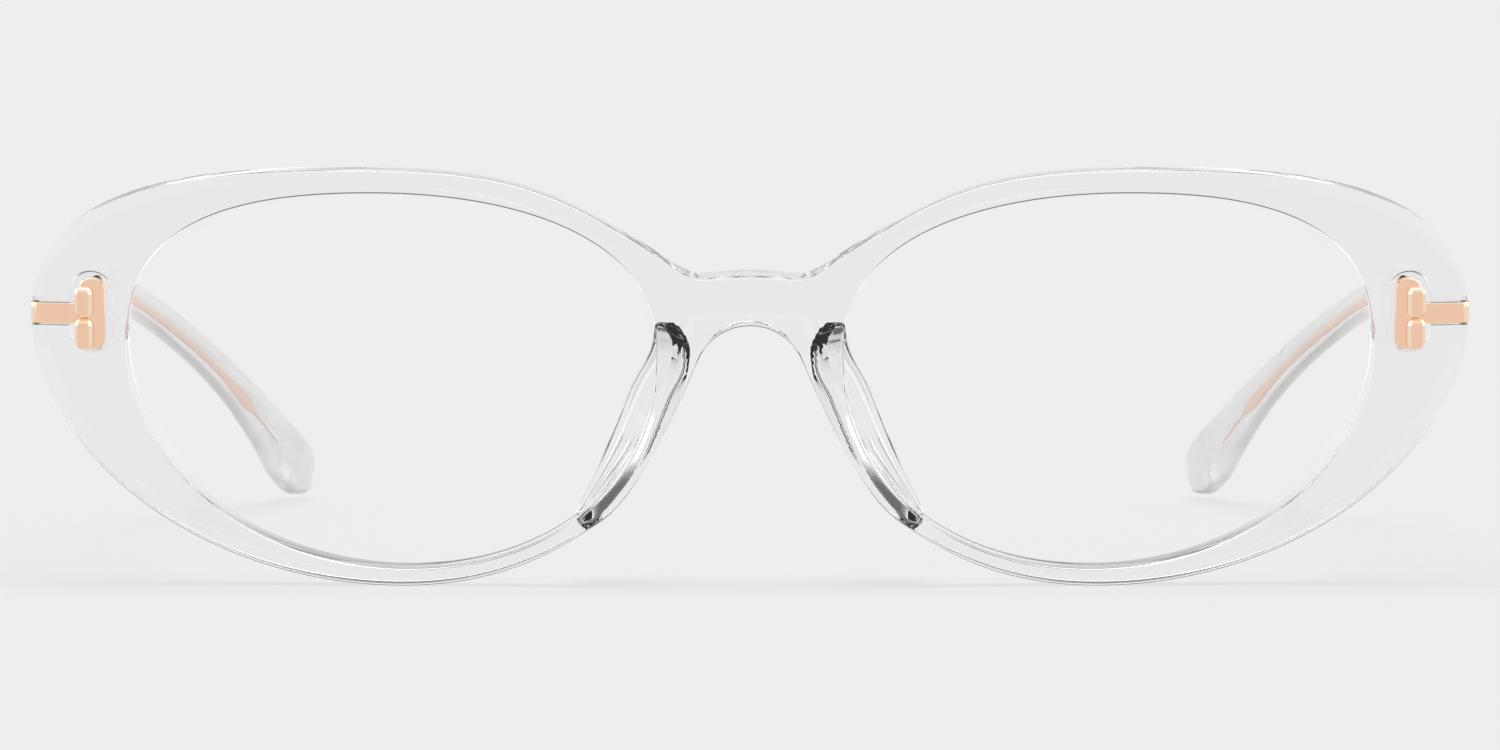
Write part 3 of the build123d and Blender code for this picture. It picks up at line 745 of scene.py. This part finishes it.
def polish_group():
    """Polishing marks: a roughness, a height and a mask of tone that vary over the surface."""
    group = bpy.data.node_groups.get("polish marks")
    if group:
        return group
    group = bpy.data.node_groups.new("polish marks", "ShaderNodeTree")
    for name, default in MARK_INPUTS.items():
        socket = group.interface.new_socket(name, in_out="INPUT", socket_type="NodeSocketFloat")
        socket.default_value = default
    for name in ("Roughness", "Height", "Tone"):
        group.interface.new_socket(name, in_out="OUTPUT", socket_type="NodeSocketFloat")
    nodes, links = group.nodes, group.links
    start, end = nodes.new("NodeGroupInput"), nodes.new("NodeGroupOutput")
    position = nodes.new("ShaderNodeTexCoord")
    stretch = nodes.new("ShaderNodeCombineXYZ")
    for axis in (0, 1):
        stretch.inputs[axis].default_value = 1.0
    links.new(start.outputs["Stretch"], stretch.inputs[2])
    mapped = nodes.new("ShaderNodeVectorMath")
    mapped.operation = "MULTIPLY"
    links.new(position.outputs["Object"], mapped.inputs[0])
    links.new(stretch.outputs[0], mapped.inputs[1])
    noise = nodes.new("ShaderNodeTexNoise")
    noise.inputs["Detail"].default_value = 4.0
    links.new(mapped.outputs[0], noise.inputs["Vector"])
    links.new(start.outputs["Scale"], noise.inputs["Scale"])
    roughness = nodes.new("ShaderNodeMapRange")
    links.new(noise.outputs[0], roughness.inputs["Value"])
    roughness.inputs["From Min"].default_value = 0.3
    roughness.inputs["From Max"].default_value = 0.7
    links.new(start.outputs["Least"], roughness.inputs["To Min"])
    links.new(start.outputs["Most"], roughness.inputs["To Max"])
    links.new(roughness.outputs[0], end.inputs["Roughness"])
    links.new(noise.outputs[0], end.inputs["Height"])
    links.new(noise.outputs[0], end.inputs["Tone"])
    return group


def add_marks(material, shader, marks, tones):
    """Adds polishing marks to a material's roughness, its surface and, with two tones, its colour."""
    nodes, links = material.node_tree.nodes, material.node_tree.links
    group = nodes.new("ShaderNodeGroup")
    group.node_tree = polish_group()
    *values, height = marks
    for name, value in zip(MARK_INPUTS, values):
        group.inputs[name].default_value = value
    links.new(group.outputs["Roughness"], shader.inputs["Roughness"])
    if height > 0:
        relief = nodes.new("ShaderNodeBump")
        relief.inputs["Strength"].default_value = 1.0
        relief.inputs["Distance"].default_value = height
        links.new(group.outputs["Height"], relief.inputs["Height"])
        links.new(relief.outputs[0], shader.inputs["Normal"])
    if tones:
        blend = nodes.new("ShaderNodeMix")
        blend.data_type = "RGBA"
        links.new(group.outputs["Tone"], blend.inputs[0])
        blend.inputs[6].default_value = (*tones[0], 1.0)
        blend.inputs[7].default_value = (*tones[1], 1.0)
        links.new(blend.outputs[2], shader.inputs["Base Color"])


def clear_material(colours):
    """The polished acetate of the front and its pads."""
    inputs = {"Base Color": (*colours.acetate, 1.0), "Transmission Weight": 1.0, "IOR": 1.48}
    return new_material("polished clear acetate", inputs, (250.0, 1.0, 0.0, 0.006, 0.0))


def temple_material(colours):
    """Clear temple acetate, which shows its core half plainly and half bent a little."""
    inputs = {"Base Color": (*colours.temple, 1.0), "Transmission Weight": 1.0, "IOR": 1.25, "Alpha": 0.5,
              "Coat Weight": 1.0, "Coat Roughness": 0.05}
    return new_material("clear temple acetate", inputs, (250.0, 1.0, 0.10, 0.16, 0.0))


def lens_material(colours):
    """A clear lens: only the sheen of its coating, the same from the front and the back."""
    inputs = {"Base Color": (*colours.lens, 1.0), "Metallic": 1.0}
    material = new_material("coated clear lens", inputs, (120.0, 1.0, 0.01, 0.03, 0.0))
    nodes, links = material.node_tree.nodes, material.node_tree.links
    sheen = nodes.new("ShaderNodeFresnel")
    side = nodes.new("ShaderNodeNewGeometry")
    index = blended(nodes, links, side.outputs["Backfacing"], COATING_INDEX, 1 / COATING_INDEX)
    links.new(index, sheen.inputs["IOR"])
    links.new(sheen.outputs[0], nodes["Principled BSDF"].inputs["Alpha"])
    return material


def edge_material(colours):
    """The ground edge of a lens, lost in its groove."""
    inputs = {"Base Color": (*colours.lens, 1.0), "Alpha": 0.02}
    return new_material("ground lens edge", inputs, (900.0, 1.0, 0.4, 0.6, 0.0))


def end_material(colours):
    """The sawn front end of a temple, left matt."""
    inputs = {"Base Color": (*colours.sawn, 1.0)}
    return new_material("sawn acetate end", inputs, (900.0, 1.0, 0.7, 0.9, 0.000004))


def metal_material(name, colours):
    """One of the metal finishes, made when it is first asked for."""
    material = bpy.data.materials.get(name)
    if material:
        return material
    colour, dark_share, marks = METAL_FINISHES[name]
    bright = tuple(getattr(colours, colour))
    dark = tuple(dark_share * part for part in bright)
    return new_material(name, {"Metallic": 1.0}, marks, (dark, bright))


class FrontSizes(bpy.types.PropertyGroup):
    """Sizes of the clear front's edges and of its mesh"""

    edge_round: FloatProperty(name="Edge round", description="Radius of the outer edges", default=0.25 * MM,
                              min=0.1 * MM, max=1.5 * MM, unit="LENGTH", precision=5)
    opening_round: FloatProperty(name="Opening round", description="Radius round the lens openings",
                                 default=0.34 * MM, min=0.05 * MM, max=1.0 * MM, unit="LENGTH", precision=5)
    back_round: FloatProperty(name="Back round", description="Radius of the edges at the back",
                              default=0.08 * MM, min=0.02 * MM, max=1.0 * MM, unit="LENGTH", precision=5)
    bevel_width: FloatProperty(name="Brow bevel width", description="Width of the bevel along the brow",
                               default=1.15 * MM, min=0.2 * MM, max=2.0 * MM, unit="LENGTH", precision=5)
    bevel_depth: FloatProperty(name="Brow bevel depth", description="Depth of the bevel along the brow",
                               default=0.5 * MM, min=0.2 * MM, max=2.0 * MM, unit="LENGTH", precision=5)
    spacing: FloatProperty(name="Spacing", description="Distance between mesh columns along the edge",
                           default=0.8 * MM, min=0.3 * MM, max=3.0 * MM, unit="LENGTH", precision=5)
    rows: IntProperty(name="Rows", description="Mesh rows across the face", default=6, min=2, max=20)


class TempleSizes(bpy.types.PropertyGroup):
    """Fineness of the clear temples"""

    rings: IntProperty(name="Rings", description="Mesh rings along a temple", default=150, min=40, max=400)
    corner_steps: IntProperty(name="Corner steps", description="Mesh steps round a corner", default=7, min=2,
                              max=16)


class FinishColours(bpy.types.PropertyGroup):
    """Colours of the finishes"""

    acetate: FloatVectorProperty(name="Acetate", description="Tint of the clear acetate", subtype="COLOR",
                                 default=(0.945, 0.945, 0.950), min=0.0, max=1.0)
    temple: FloatVectorProperty(name="Temple", description="Tint of the temples' acetate", subtype="COLOR",
                                default=(0.57, 0.57, 0.575), min=0.0, max=1.0)
    sawn: FloatVectorProperty(name="Sawn end", description="Tone of the temple's matt end", subtype="COLOR",
                              default=(0.97, 0.97, 0.97), min=0.0, max=1.0)
    lens: FloatVectorProperty(name="Lens", description="Tint of the lenses", subtype="COLOR",
                              default=(0.995, 0.998, 0.998), min=0.0, max=1.0)
    rose_gold: FloatVectorProperty(name="Rose gold", description="Colour of the plated metal",
                                   subtype="COLOR", default=(1.0, 0.655, 0.465), min=0.0, max=1.0)
    # Paler colour painted on the trims' bevels as a highlight
    bright_cut: FloatVectorProperty(name="Painted highlight", description="Colour of the trims' bevels",
                                    subtype="COLOR", default=(1.0, 0.80, 0.61), min=0.0, max=1.0)
    steel: FloatVectorProperty(name="Steel", description="Colour of the hinge screws", subtype="COLOR",
                               default=(0.62, 0.62, 0.63), min=0.0, max=1.0)


class StageSettings(bpy.types.PropertyGroup):
    """The table, the studio and the camera"""

    table: FloatVectorProperty(name="Table", description="Colour of the table top", subtype="COLOR",
                               default=(0.855, 0.855, 0.855), min=0.0, max=1.0)
    backdrop: FloatVectorProperty(name="Backdrop", description="Colour seen behind the glasses",
                                  subtype="COLOR", default=(0.855, 0.855, 0.855), min=0.0, max=1.0)
    before: FloatProperty(name="Before", description="Brightness mirrored from the camera's side",
                          default=0.95, min=0.0, max=3.0)
    beside: FloatProperty(name="Beside", description="Brightness mirrored from the sides", default=1.5,
                          min=0.0, max=3.0)
    overhead: FloatProperty(name="Overhead", description="Brightness mirrored from straight above",
                            default=1.8, min=0.0, max=8.0)
    dark: FloatProperty(name="Dark corner", description="Brightness of the studio's dark upper corner",
                        default=0.14, min=0.0, max=1.0)
    dusk: FloatVectorProperty(name="Dusk", description="Heights of the sky between which it turns dark",
                              size=2, default=(0.22, 0.32), min=0.0, max=1.0)
    dawn: FloatVectorProperty(name="Dawn", description="Heights between which it turns bright again",
                              size=2, default=(0.74, 0.84), min=0.0, max=1.0)
    lamp: FloatProperty(name="Lamp share", description="Share of the light that comes from straight above",
                        default=0.12, min=0.0, max=1.0)
    lamp_spread: FloatProperty(name="Lamp spread", description="Angle that the lamp fills, for soft shadows",
                               default=radians(45.0), subtype="ANGLE")
    distance: FloatProperty(name="Distance", description="Camera distance from the front", default=0.640,
                            min=0.1, max=5.0, unit="LENGTH")
    height: FloatProperty(name="Height", description="Camera height over the table", default=0.049, min=0.0,
                          max=2.0, unit="LENGTH")
    pitch: FloatProperty(name="Pitch", description="How far the camera looks down", default=radians(2.525),
                         subtype="ANGLE")
    focal: FloatProperty(name="Focal length", description="Focal length in millimetres on a 36 mm sensor",
                         default=158.5, min=20.0, max=400.0)


class GLASSES_OT_front(bpy.types.Operator):
    """Make the clear front with its two nose pads"""

    bl_idname = "glasses.front"
    bl_label = "Front and nose pads"

    def execute(self, context):
        points, faces = mirrored(*front_half(context.scene.glasses_front))
        front = welded_piece("clear_front", place(points), faces)
        others = []
        for name, kind, skin in (("slot", "DIFFERENCE", slot_cutter()),
                                 ("pocket", "DIFFERENCE", pocket_cutter()),
                                 ("pads", "UNION", tube(pad_rings()))):
            points, faces = mirrored(*skin)
            others.append((welded_piece(name, place(points), faces), kind))
        applied(front, others)
        finish_piece(front, clear_material(context.scene.glasses_colours), "front",
                     ("front_frame", "nose_pad_left", "nose_pad_right"), FRONT_CREASE)
        front.visible_diffuse = False
        return {"FINISHED"}


def lens_rings():
    """Rings of the left lens in the upright front, over its front and back over its back."""
    loop = opening_run(LENS_SPACING)
    edge_sag = LENS_RADIUS - sqrt(LENS_RADIUS ** 2 - (LENS_WIDTH / 2) ** 2)
    rings = []
    for shift, shares in ((-LENS_THICKNESS / 2, LENS_RINGS), (LENS_THICKNESS / 2, LENS_RINGS[::-1])):
        for share in shares:
            ring = []
            for x, z, nx, nz in loop:
                x, z = x - nx * SEAT_CLEARANCE, z - nz * SEAT_CLEARANCE
                x, z = between(LENS_CENTRE, x, share), z * share
                sag = edge_sag - (LENS_RADIUS - sqrt(LENS_RADIUS ** 2 - (x - LENS_CENTRE) ** 2 - z * z))
                ring.append((x, shell_y(x, THICKNESS / 2) - sag + shift, z))
            rings.append(ring)
    return rings


class GLASSES_OT_lenses(bpy.types.Operator):
    """Make the two lenses, trimmed to their openings"""

    bl_idname = "glasses.lenses"
    bl_label = "Lenses"

    def execute(self, context):
        colours = context.scene.glasses_colours
        coated, ground = lens_material(colours), edge_material(colours)
        for side, sign in SIDES.items():
            points, faces = on_side(tube(lens_rings()), sign)
            lens = welded_piece("clear_lens_" + side, place(points), faces)
            finish_piece(lens, coated, "front", ("lens_" + side,), LENS_CREASE)
            refinish(lens, ground, lambda polygon: facing(polygon) < LENS_EDGE_FACING)
            lens.visible_diffuse = False
            lens.visible_shadow = False
        return {"FINISHED"}


def temple_ring(centre, along, height, thickness, steps):
    """A ring with rounded corners across the temple's direction."""
    level = Vector((along.y, -along.x, 0)).normalized()
    up = along.cross(level) * -1
    corner = TEMPLE_CORNER_SHARE * thickness
    loop = pill_loop(-thickness / 2, thickness, -height / 2, height, corner, steps)
    return [centre + level * x + up * z for x, z, _, _ in loop]


def temple_path():
    """Depth share, centre, height and thickness at the left temple's stations, in the row's frame."""
    hx, hy, hz = hinge_joint()["pos_m"]
    start = hx + INNER_FACE_OFFSET + HINGE_SECTION[1] / 2
    return [(depth, start - inset * TEMPLE_INSET, hy - TEMPLE_LEAD + depth * TEMPLE_DEPTH,
             hz - drop * TEMPLE_DROP, section[0] * height, section[1] * thickness)
            for depth, inset, drop, section, height, thickness in STATION_SHARES]


def temple_rings(sizes):
    """Rings of the left temple in the row's frame: three of its sawn end, then back to its tip."""
    rows = spline_rows(temple_path(), sizes.rings)
    centres = [Vector(row[1:4]) for row in rows]
    rings = []
    for i, row in enumerate(rows):
        along = (centres[min(i + 1, len(rows) - 1)] - centres[max(i - 1, 0)]).normalized()
        rings.append(temple_ring(centres[i], along, row[4], row[5], sizes.corner_steps))
    along = (centres[-1] - centres[-2]).normalized()
    height, thickness = rows[-1][4:]
    for angle in TIP_ANGLES:
        a = radians(angle)
        reach = TIP_REACH_SHARE * thickness * sin(a)
        rings.append(temple_ring(centres[-1] + along * reach, along, height * cos(a), thickness * cos(a),
                                 sizes.corner_steps))
    back = PLACE.inverted()
    butt = []
    for point in rings[0]:
        point = point.copy()
        for _ in range(BUTT_PASSES):
            upright = back @ point
            point.y += shell_y(upright.x, THICKNESS + BUTT_GAP) - upright.y
        butt.append(point)
    start = max(point.y for point in butt) + BUTT_MARGIN
    kept = [ring for ring in rings[1:] if min(point.y for point in ring) > start]
    middle = sum(butt, Vector()) / len(butt)
    ends = []
    for inset, rise in ((BUTT_LIP, 0.0), (SOFT_SHARE * BUTT_LIP, SOFT_SHARE * BUTT_LIP), (0.0, BUTT_LIP)):
        ends.append([point + (middle - point).normalized() * inset + Vector((0, rise, 0)) for point in butt])
    return ends + kept


def core_rings():
    """Rings of the left temple's metal core in the row's frame."""
    path = spline_rows(temple_path(), CORE_PATH_STEPS)
    shares = [row[0] for row in path]
    centres = [Vector(row[1:4]) for row in path]
    rings = []
    for depth, height, thickness, shift in spline_rows(CORE_SHARES, CORE_RINGS):
        i = min(max(int(np.searchsorted(shares, depth)), 1), len(path) - 2)
        here = centres[i - 1].lerp(centres[i], (depth - shares[i - 1]) / (shares[i] - shares[i - 1]))
        along = (centres[i + 1] - centres[i - 1]).normalized()
        level = Vector((along.y, -along.x, 0)).normalized()
        rings.append(temple_ring(here - level * shift * CORE_SHIFT, along, height * CORE_HEIGHT,
                                 thickness * CORE_THICKNESS, CORE_CORNER_STEPS))
    return rings


class GLASSES_OT_temples(bpy.types.Operator):
    """Make the two clear temples round their metal cores"""

    bl_idname = "glasses.temples"
    bl_label = "Temples"

    def execute(self, context):
        colours = context.scene.glasses_colours
        clear, sawn = temple_material(colours), end_material(colours)
        wire = metal_material("satin rose gold core wire", colours)
        rings = temple_rings(context.scene.glasses_temples)
        end = max(point.y for point in rings[2]) + SAWN_MARGIN
        for side, sign in SIDES.items():
            body = "temple_" + side + "_arm"
            temple = welded_piece("clear_temple_" + side, *on_side(tube(rings), sign))
            finish_piece(temple, clear, body, ("temple_" + side,), TEMPLE_CREASE)
            points = temple.data.vertices
            refinish(temple, sawn, lambda polygon: all(points[i].co.y < end for i in polygon.vertices))
            temple.visible_diffuse = False
            temple.visible_transmission = False
            core = welded_piece("rose_gold_core_" + side, *on_side(tube(core_rings()), sign))
            finish_piece(core, wire, body, ("temple_core_" + side,), TEMPLE_CREASE)
            core.visible_transmission = False
        return {"FINISHED"}


def bar_rings():
    """The bar from the plate over the end of the rim, as rings across its height."""
    low, high = TRIM_MIDDLE - BAR_HEIGHT / 2, TRIM_MIDDLE + BAR_HEIGHT / 2
    start, outer = PLATE_INNER + BAR_START_SHARE * PLATE_WIDTH, HALF_WIDTH + BAR_PROUD
    path = [(between(start, outer - BAR_TURN, i / BAR_STEPS), -BAR_PROUD) for i in range(BAR_STEPS + 1)]
    path += [(outer - BAR_TURN + BAR_TURN * sin(a), -BAR_PROUD + BAR_TURN * (1 - cos(a)))
             for a in (radians(90 * i / BAR_STEPS) for i in range(1, BAR_STEPS + 1))]
    path += [(outer, between(BAR_TURN, WRAP_END, i / WRAP_STEPS)) for i in range(1, WRAP_STEPS + 1)]
    inner = HALF_WIDTH - BAR_DEPTH
    back = [(inner, WRAP_END), (inner, BAR_DEPTH), (start, BAR_DEPTH)]
    soft = SOFT_SHARE * BAR_BEVEL
    rings = []
    for z, inset in ((low, BAR_BEVEL), (low + soft, soft), (low + BAR_BEVEL, 0.0), (high - BAR_BEVEL, 0.0),
                     (high - soft, soft), (high, BAR_BEVEL)):
        ring = []
        for k, (x, depth) in enumerate(path):
            lean = min(max((k - BAR_STEPS) / BAR_STEPS, 0.0), 1.0)
            ring.append((x - inset * lean, shell_y(x - inset * lean, depth + inset * (1 - lean)), z))
        rings.append(ring + [(x, shell_y(x, depth), z) for x, depth in back])
    return rings


def bead_rings(middle):
    """A faceted bead: flat in front, with a bevel down each side and drawn-in ends."""
    x0 = PLATE_INNER + PLATE_WIDTH - BEAD_OVERLAP_SHARE * BEAD_WIDTH
    y0 = shell_y(x0, 0.0) + BEAD_FACE * BEAD_WIDTH - BEAD_RISE
    lean = x0 / WRAP_RADIUS
    rings = []
    for share, scale, dip in BEAD_ENDS:
        ring = []
        for across, out in BEAD_SECTION:
            across, out = across * scale * BEAD_WIDTH, min(out, BEAD_FACE - dip) * BEAD_WIDTH
            ring.append((x0 + across * cos(lean) + out * sin(lean), y0 + across * sin(lean) - out * cos(lean),
                         middle + share * BEAD_LENGTH / 2))
        rings.append(ring)
    return rings


def trim_skin():
    """The left trim in the upright front: its plate, its bar and its two beads."""
    loop = pill_loop(PLATE_INNER, PLATE_WIDTH, TRIM_MIDDLE - PLATE_HEIGHT / 2, PLATE_HEIGHT,
                     PLATE_ROUND_SHARE * PLATE_WIDTH, PLATE_CORNER_STEPS)
    soft = SOFT_SHARE * PLATE_BEVEL
    profile = [(-PLATE_BEVEL, -PLATE_PROUD), (-soft, -PLATE_PROUD + soft), (0.0, -PLATE_PROUD + PLATE_BEVEL),
               (0.0, PLATE_DEPTH)]
    pitch = (BEAD_LENGTH + BEAD_GAP) / 2
    beads = [tube(bead_rings(TRIM_MIDDLE - BEAD_DROP + offset)) for offset in (-pitch, pitch)]
    return joined([slab(loop, profile), tube(bar_rings()), *beads])


class GLASSES_OT_trims(bpy.types.Operator):
    """Make the two metal corner trims"""

    bl_idname = "glasses.trims"
    bl_label = "Corner trims"

    def execute(self, context):
        gold = metal_material("polished rose gold plate", context.scene.glasses_colours)
        bright = metal_material("bright-cut rose gold", context.scene.glasses_colours)
        flattest, steepest = HIGHLIGHT_FACING
        for side, sign in SIDES.items():
            points, faces = on_side(trim_skin(), sign)
            trim = welded_piece("rose_gold_trim_" + side, place(points), faces)
            finish_piece(trim, gold, "front", ("corner_trim_" + side,), TRIM_CREASE)
            # Faces turned partly to the front take the paler finish, a painted highlight
            refinish(trim, bright, lambda polygon: flattest < facing(polygon) < steepest)
        return {"FINISHED"}


class GLASSES_OT_hinges(bpy.types.Operator):
    """Give the hinges, their screws and the rivets their finishes"""

    bl_idname = "glasses.hinges"
    bl_label = "Hinges and rivets"

    def execute(self, context):
        for side in SIDES:
            for node, finish, shows in CARRIED_FINISHES:
                solid = frame["nodes"][node + side]
                solid.data.materials.clear()
                solid.data.materials.append(metal_material(finish, context.scene.glasses_colours))
                solid.visible_transmission = shows
        return {"FINISHED"}


def studio_world(settings):
    """A pale studio: even for matt surfaces, and with darker corners and a light overhead for clear and
    polished ones."""
    world = bpy.data.worlds.new("studio")
    bpy.context.scene.world = world
    world.use_nodes = True
    world.cycles.sampling_method = "NONE"
    nodes, links = world.node_tree.nodes, world.node_tree.links
    nodes.clear()
    out = nodes.new("ShaderNodeOutputWorld")
    background = nodes.new("ShaderNodeBackground")
    background.inputs["Color"].default_value = (1.0, 1.0, 1.0, 1.0)
    links.new(background.outputs[0], out.inputs[0])
    rays = nodes.new("ShaderNodeLightPath")
    direction = nodes.new("ShaderNodeTexCoord")
    split = nodes.new("ShaderNodeSeparateXYZ")
    links.new(direction.outputs["Generated"], split.inputs[0])
    x, y, z = split.outputs
    aside = nodes.new("ShaderNodeMath")
    aside.operation = "ABSOLUTE"
    links.new(x, aside.inputs[0])
    pale = settings.backdrop[0]
    corner = spread(nodes, links, aside.outputs[0], *CORNER_ASIDE, settings.dark, settings.beside)
    behind = blended(nodes, links, spread(nodes, links, z, *settings.dusk, 0.0, 1.0), pale, corner)
    before = spread(nodes, links, aside.outputs[0], *BESIDE_ASIDE, settings.before, settings.beside)
    around = blended(nodes, links, spread(nodes, links, y, *BEHIND_AHEAD, 0.0, 1.0), before, behind)
    dome = blended(nodes, links, spread(nodes, links, z, *settings.dawn, 0.0, 1.0), around, settings.overhead)
    matt = blended(nodes, links, rays.outputs["Is Diffuse Ray"], dome, 1.0 - settings.lamp)
    seen = blended(nodes, links, rays.outputs["Is Camera Ray"], matt, pale)
    links.new(seen, background.inputs["Strength"])


def overhead_lamp(settings):
    """A soft lamp straight above, which draws the shadow under the glasses."""
    lamp = bpy.data.lights.new("overhead", "SUN")
    lamp.energy = pi * settings.lamp
    lamp.angle = settings.lamp_spread
    bpy.context.scene.collection.objects.link(bpy.data.objects.new("overhead", lamp))


class GLASSES_OT_stage(bpy.types.Operator):
    """Set the table, the studio light and the camera"""

    bl_idname = "glasses.stage"
    bl_label = "Stage and camera"

    def execute(self, context):
        settings = context.scene.glasses_stage
        corners = [(x * TABLE_REACH, y * TABLE_REACH, 0.0) for x, y in ((-1, -1), (1, -1), (1, 1), (-1, 1))]
        table = piece("table_top", make_mesh("table", corners, [(0, 1, 2, 3)]))
        table.data.materials.append(new_material("matt table top", {
            "Base Color": (*settings.table, 1.0), "Roughness": 1.0, "Specular IOR Level": 0.0}))
        studio_world(settings)
        overhead_lamp(settings)
        camera_data = bpy.data.cameras.new("camera")
        camera_data.lens = settings.focal
        camera_data.sensor_width = SENSOR_WIDTH
        camera_data.clip_start = 0.01
        camera_data.clip_end = 100.0
        camera = bpy.data.objects.new("camera", camera_data)
        front_y = (PLACE @ Vector((0, 0, 0))).y
        camera.location = (0.0, front_y - settings.distance, settings.height)
        camera.rotation_euler = (radians(90) - settings.pitch, 0.0, 0.0)
        context.scene.collection.objects.link(camera)
        context.scene.camera = camera
        context.scene.view_settings.view_transform = "Standard"
        return {"FINISHED"}


class GLASSES_PT_panel(bpy.types.Panel):
    """Lists the settings and the steps of the glasses"""

    bl_idname = "GLASSES_PT_panel"
    bl_label = "Oval eyeglasses"
    bl_space_type = "VIEW_3D"
    bl_region_type = "UI"
    bl_category = "Glasses"

    def draw(self, context):
        for title, group, _ in GROUPS:
            box = self.layout.box()
            box.label(text=title)
            settings = getattr(context.scene, group)
            for name in settings.__annotations__:
                box.prop(settings, name)
        for operator in OPERATORS:
            self.layout.operator(operator.bl_idname)


GROUPS = (
    ("Front", "glasses_front", FrontSizes),
    ("Temples", "glasses_temples", TempleSizes),
    ("Finishes", "glasses_colours", FinishColours),
    ("Stage", "glasses_stage", StageSettings),
)
OPERATORS = (GLASSES_OT_stage, GLASSES_OT_front, GLASSES_OT_lenses, GLASSES_OT_temples, GLASSES_OT_trims,
             GLASSES_OT_hinges)


def register():
    for _, name, group in GROUPS:
        bpy.utils.register_class(group)
        setattr(bpy.types.Scene, name, PointerProperty(type=group))
    for made in (*OPERATORS, GLASSES_PT_panel):
        bpy.utils.register_class(made)


def unregister():
    for made in (GLASSES_PT_panel, *reversed(OPERATORS)):
        bpy.utils.unregister_class(made)
    for _, name, group in reversed(GROUPS):
        delattr(bpy.types.Scene, name)
        bpy.utils.unregister_class(group)


def main():
    register()
    bpy.ops.glasses.stage()
    bpy.ops.glasses.front()
    bpy.ops.glasses.lenses()
    bpy.ops.glasses.temples()
    bpy.ops.glasses.trims()
    bpy.ops.glasses.hinges()


if __name__ == "__main__":
    main()
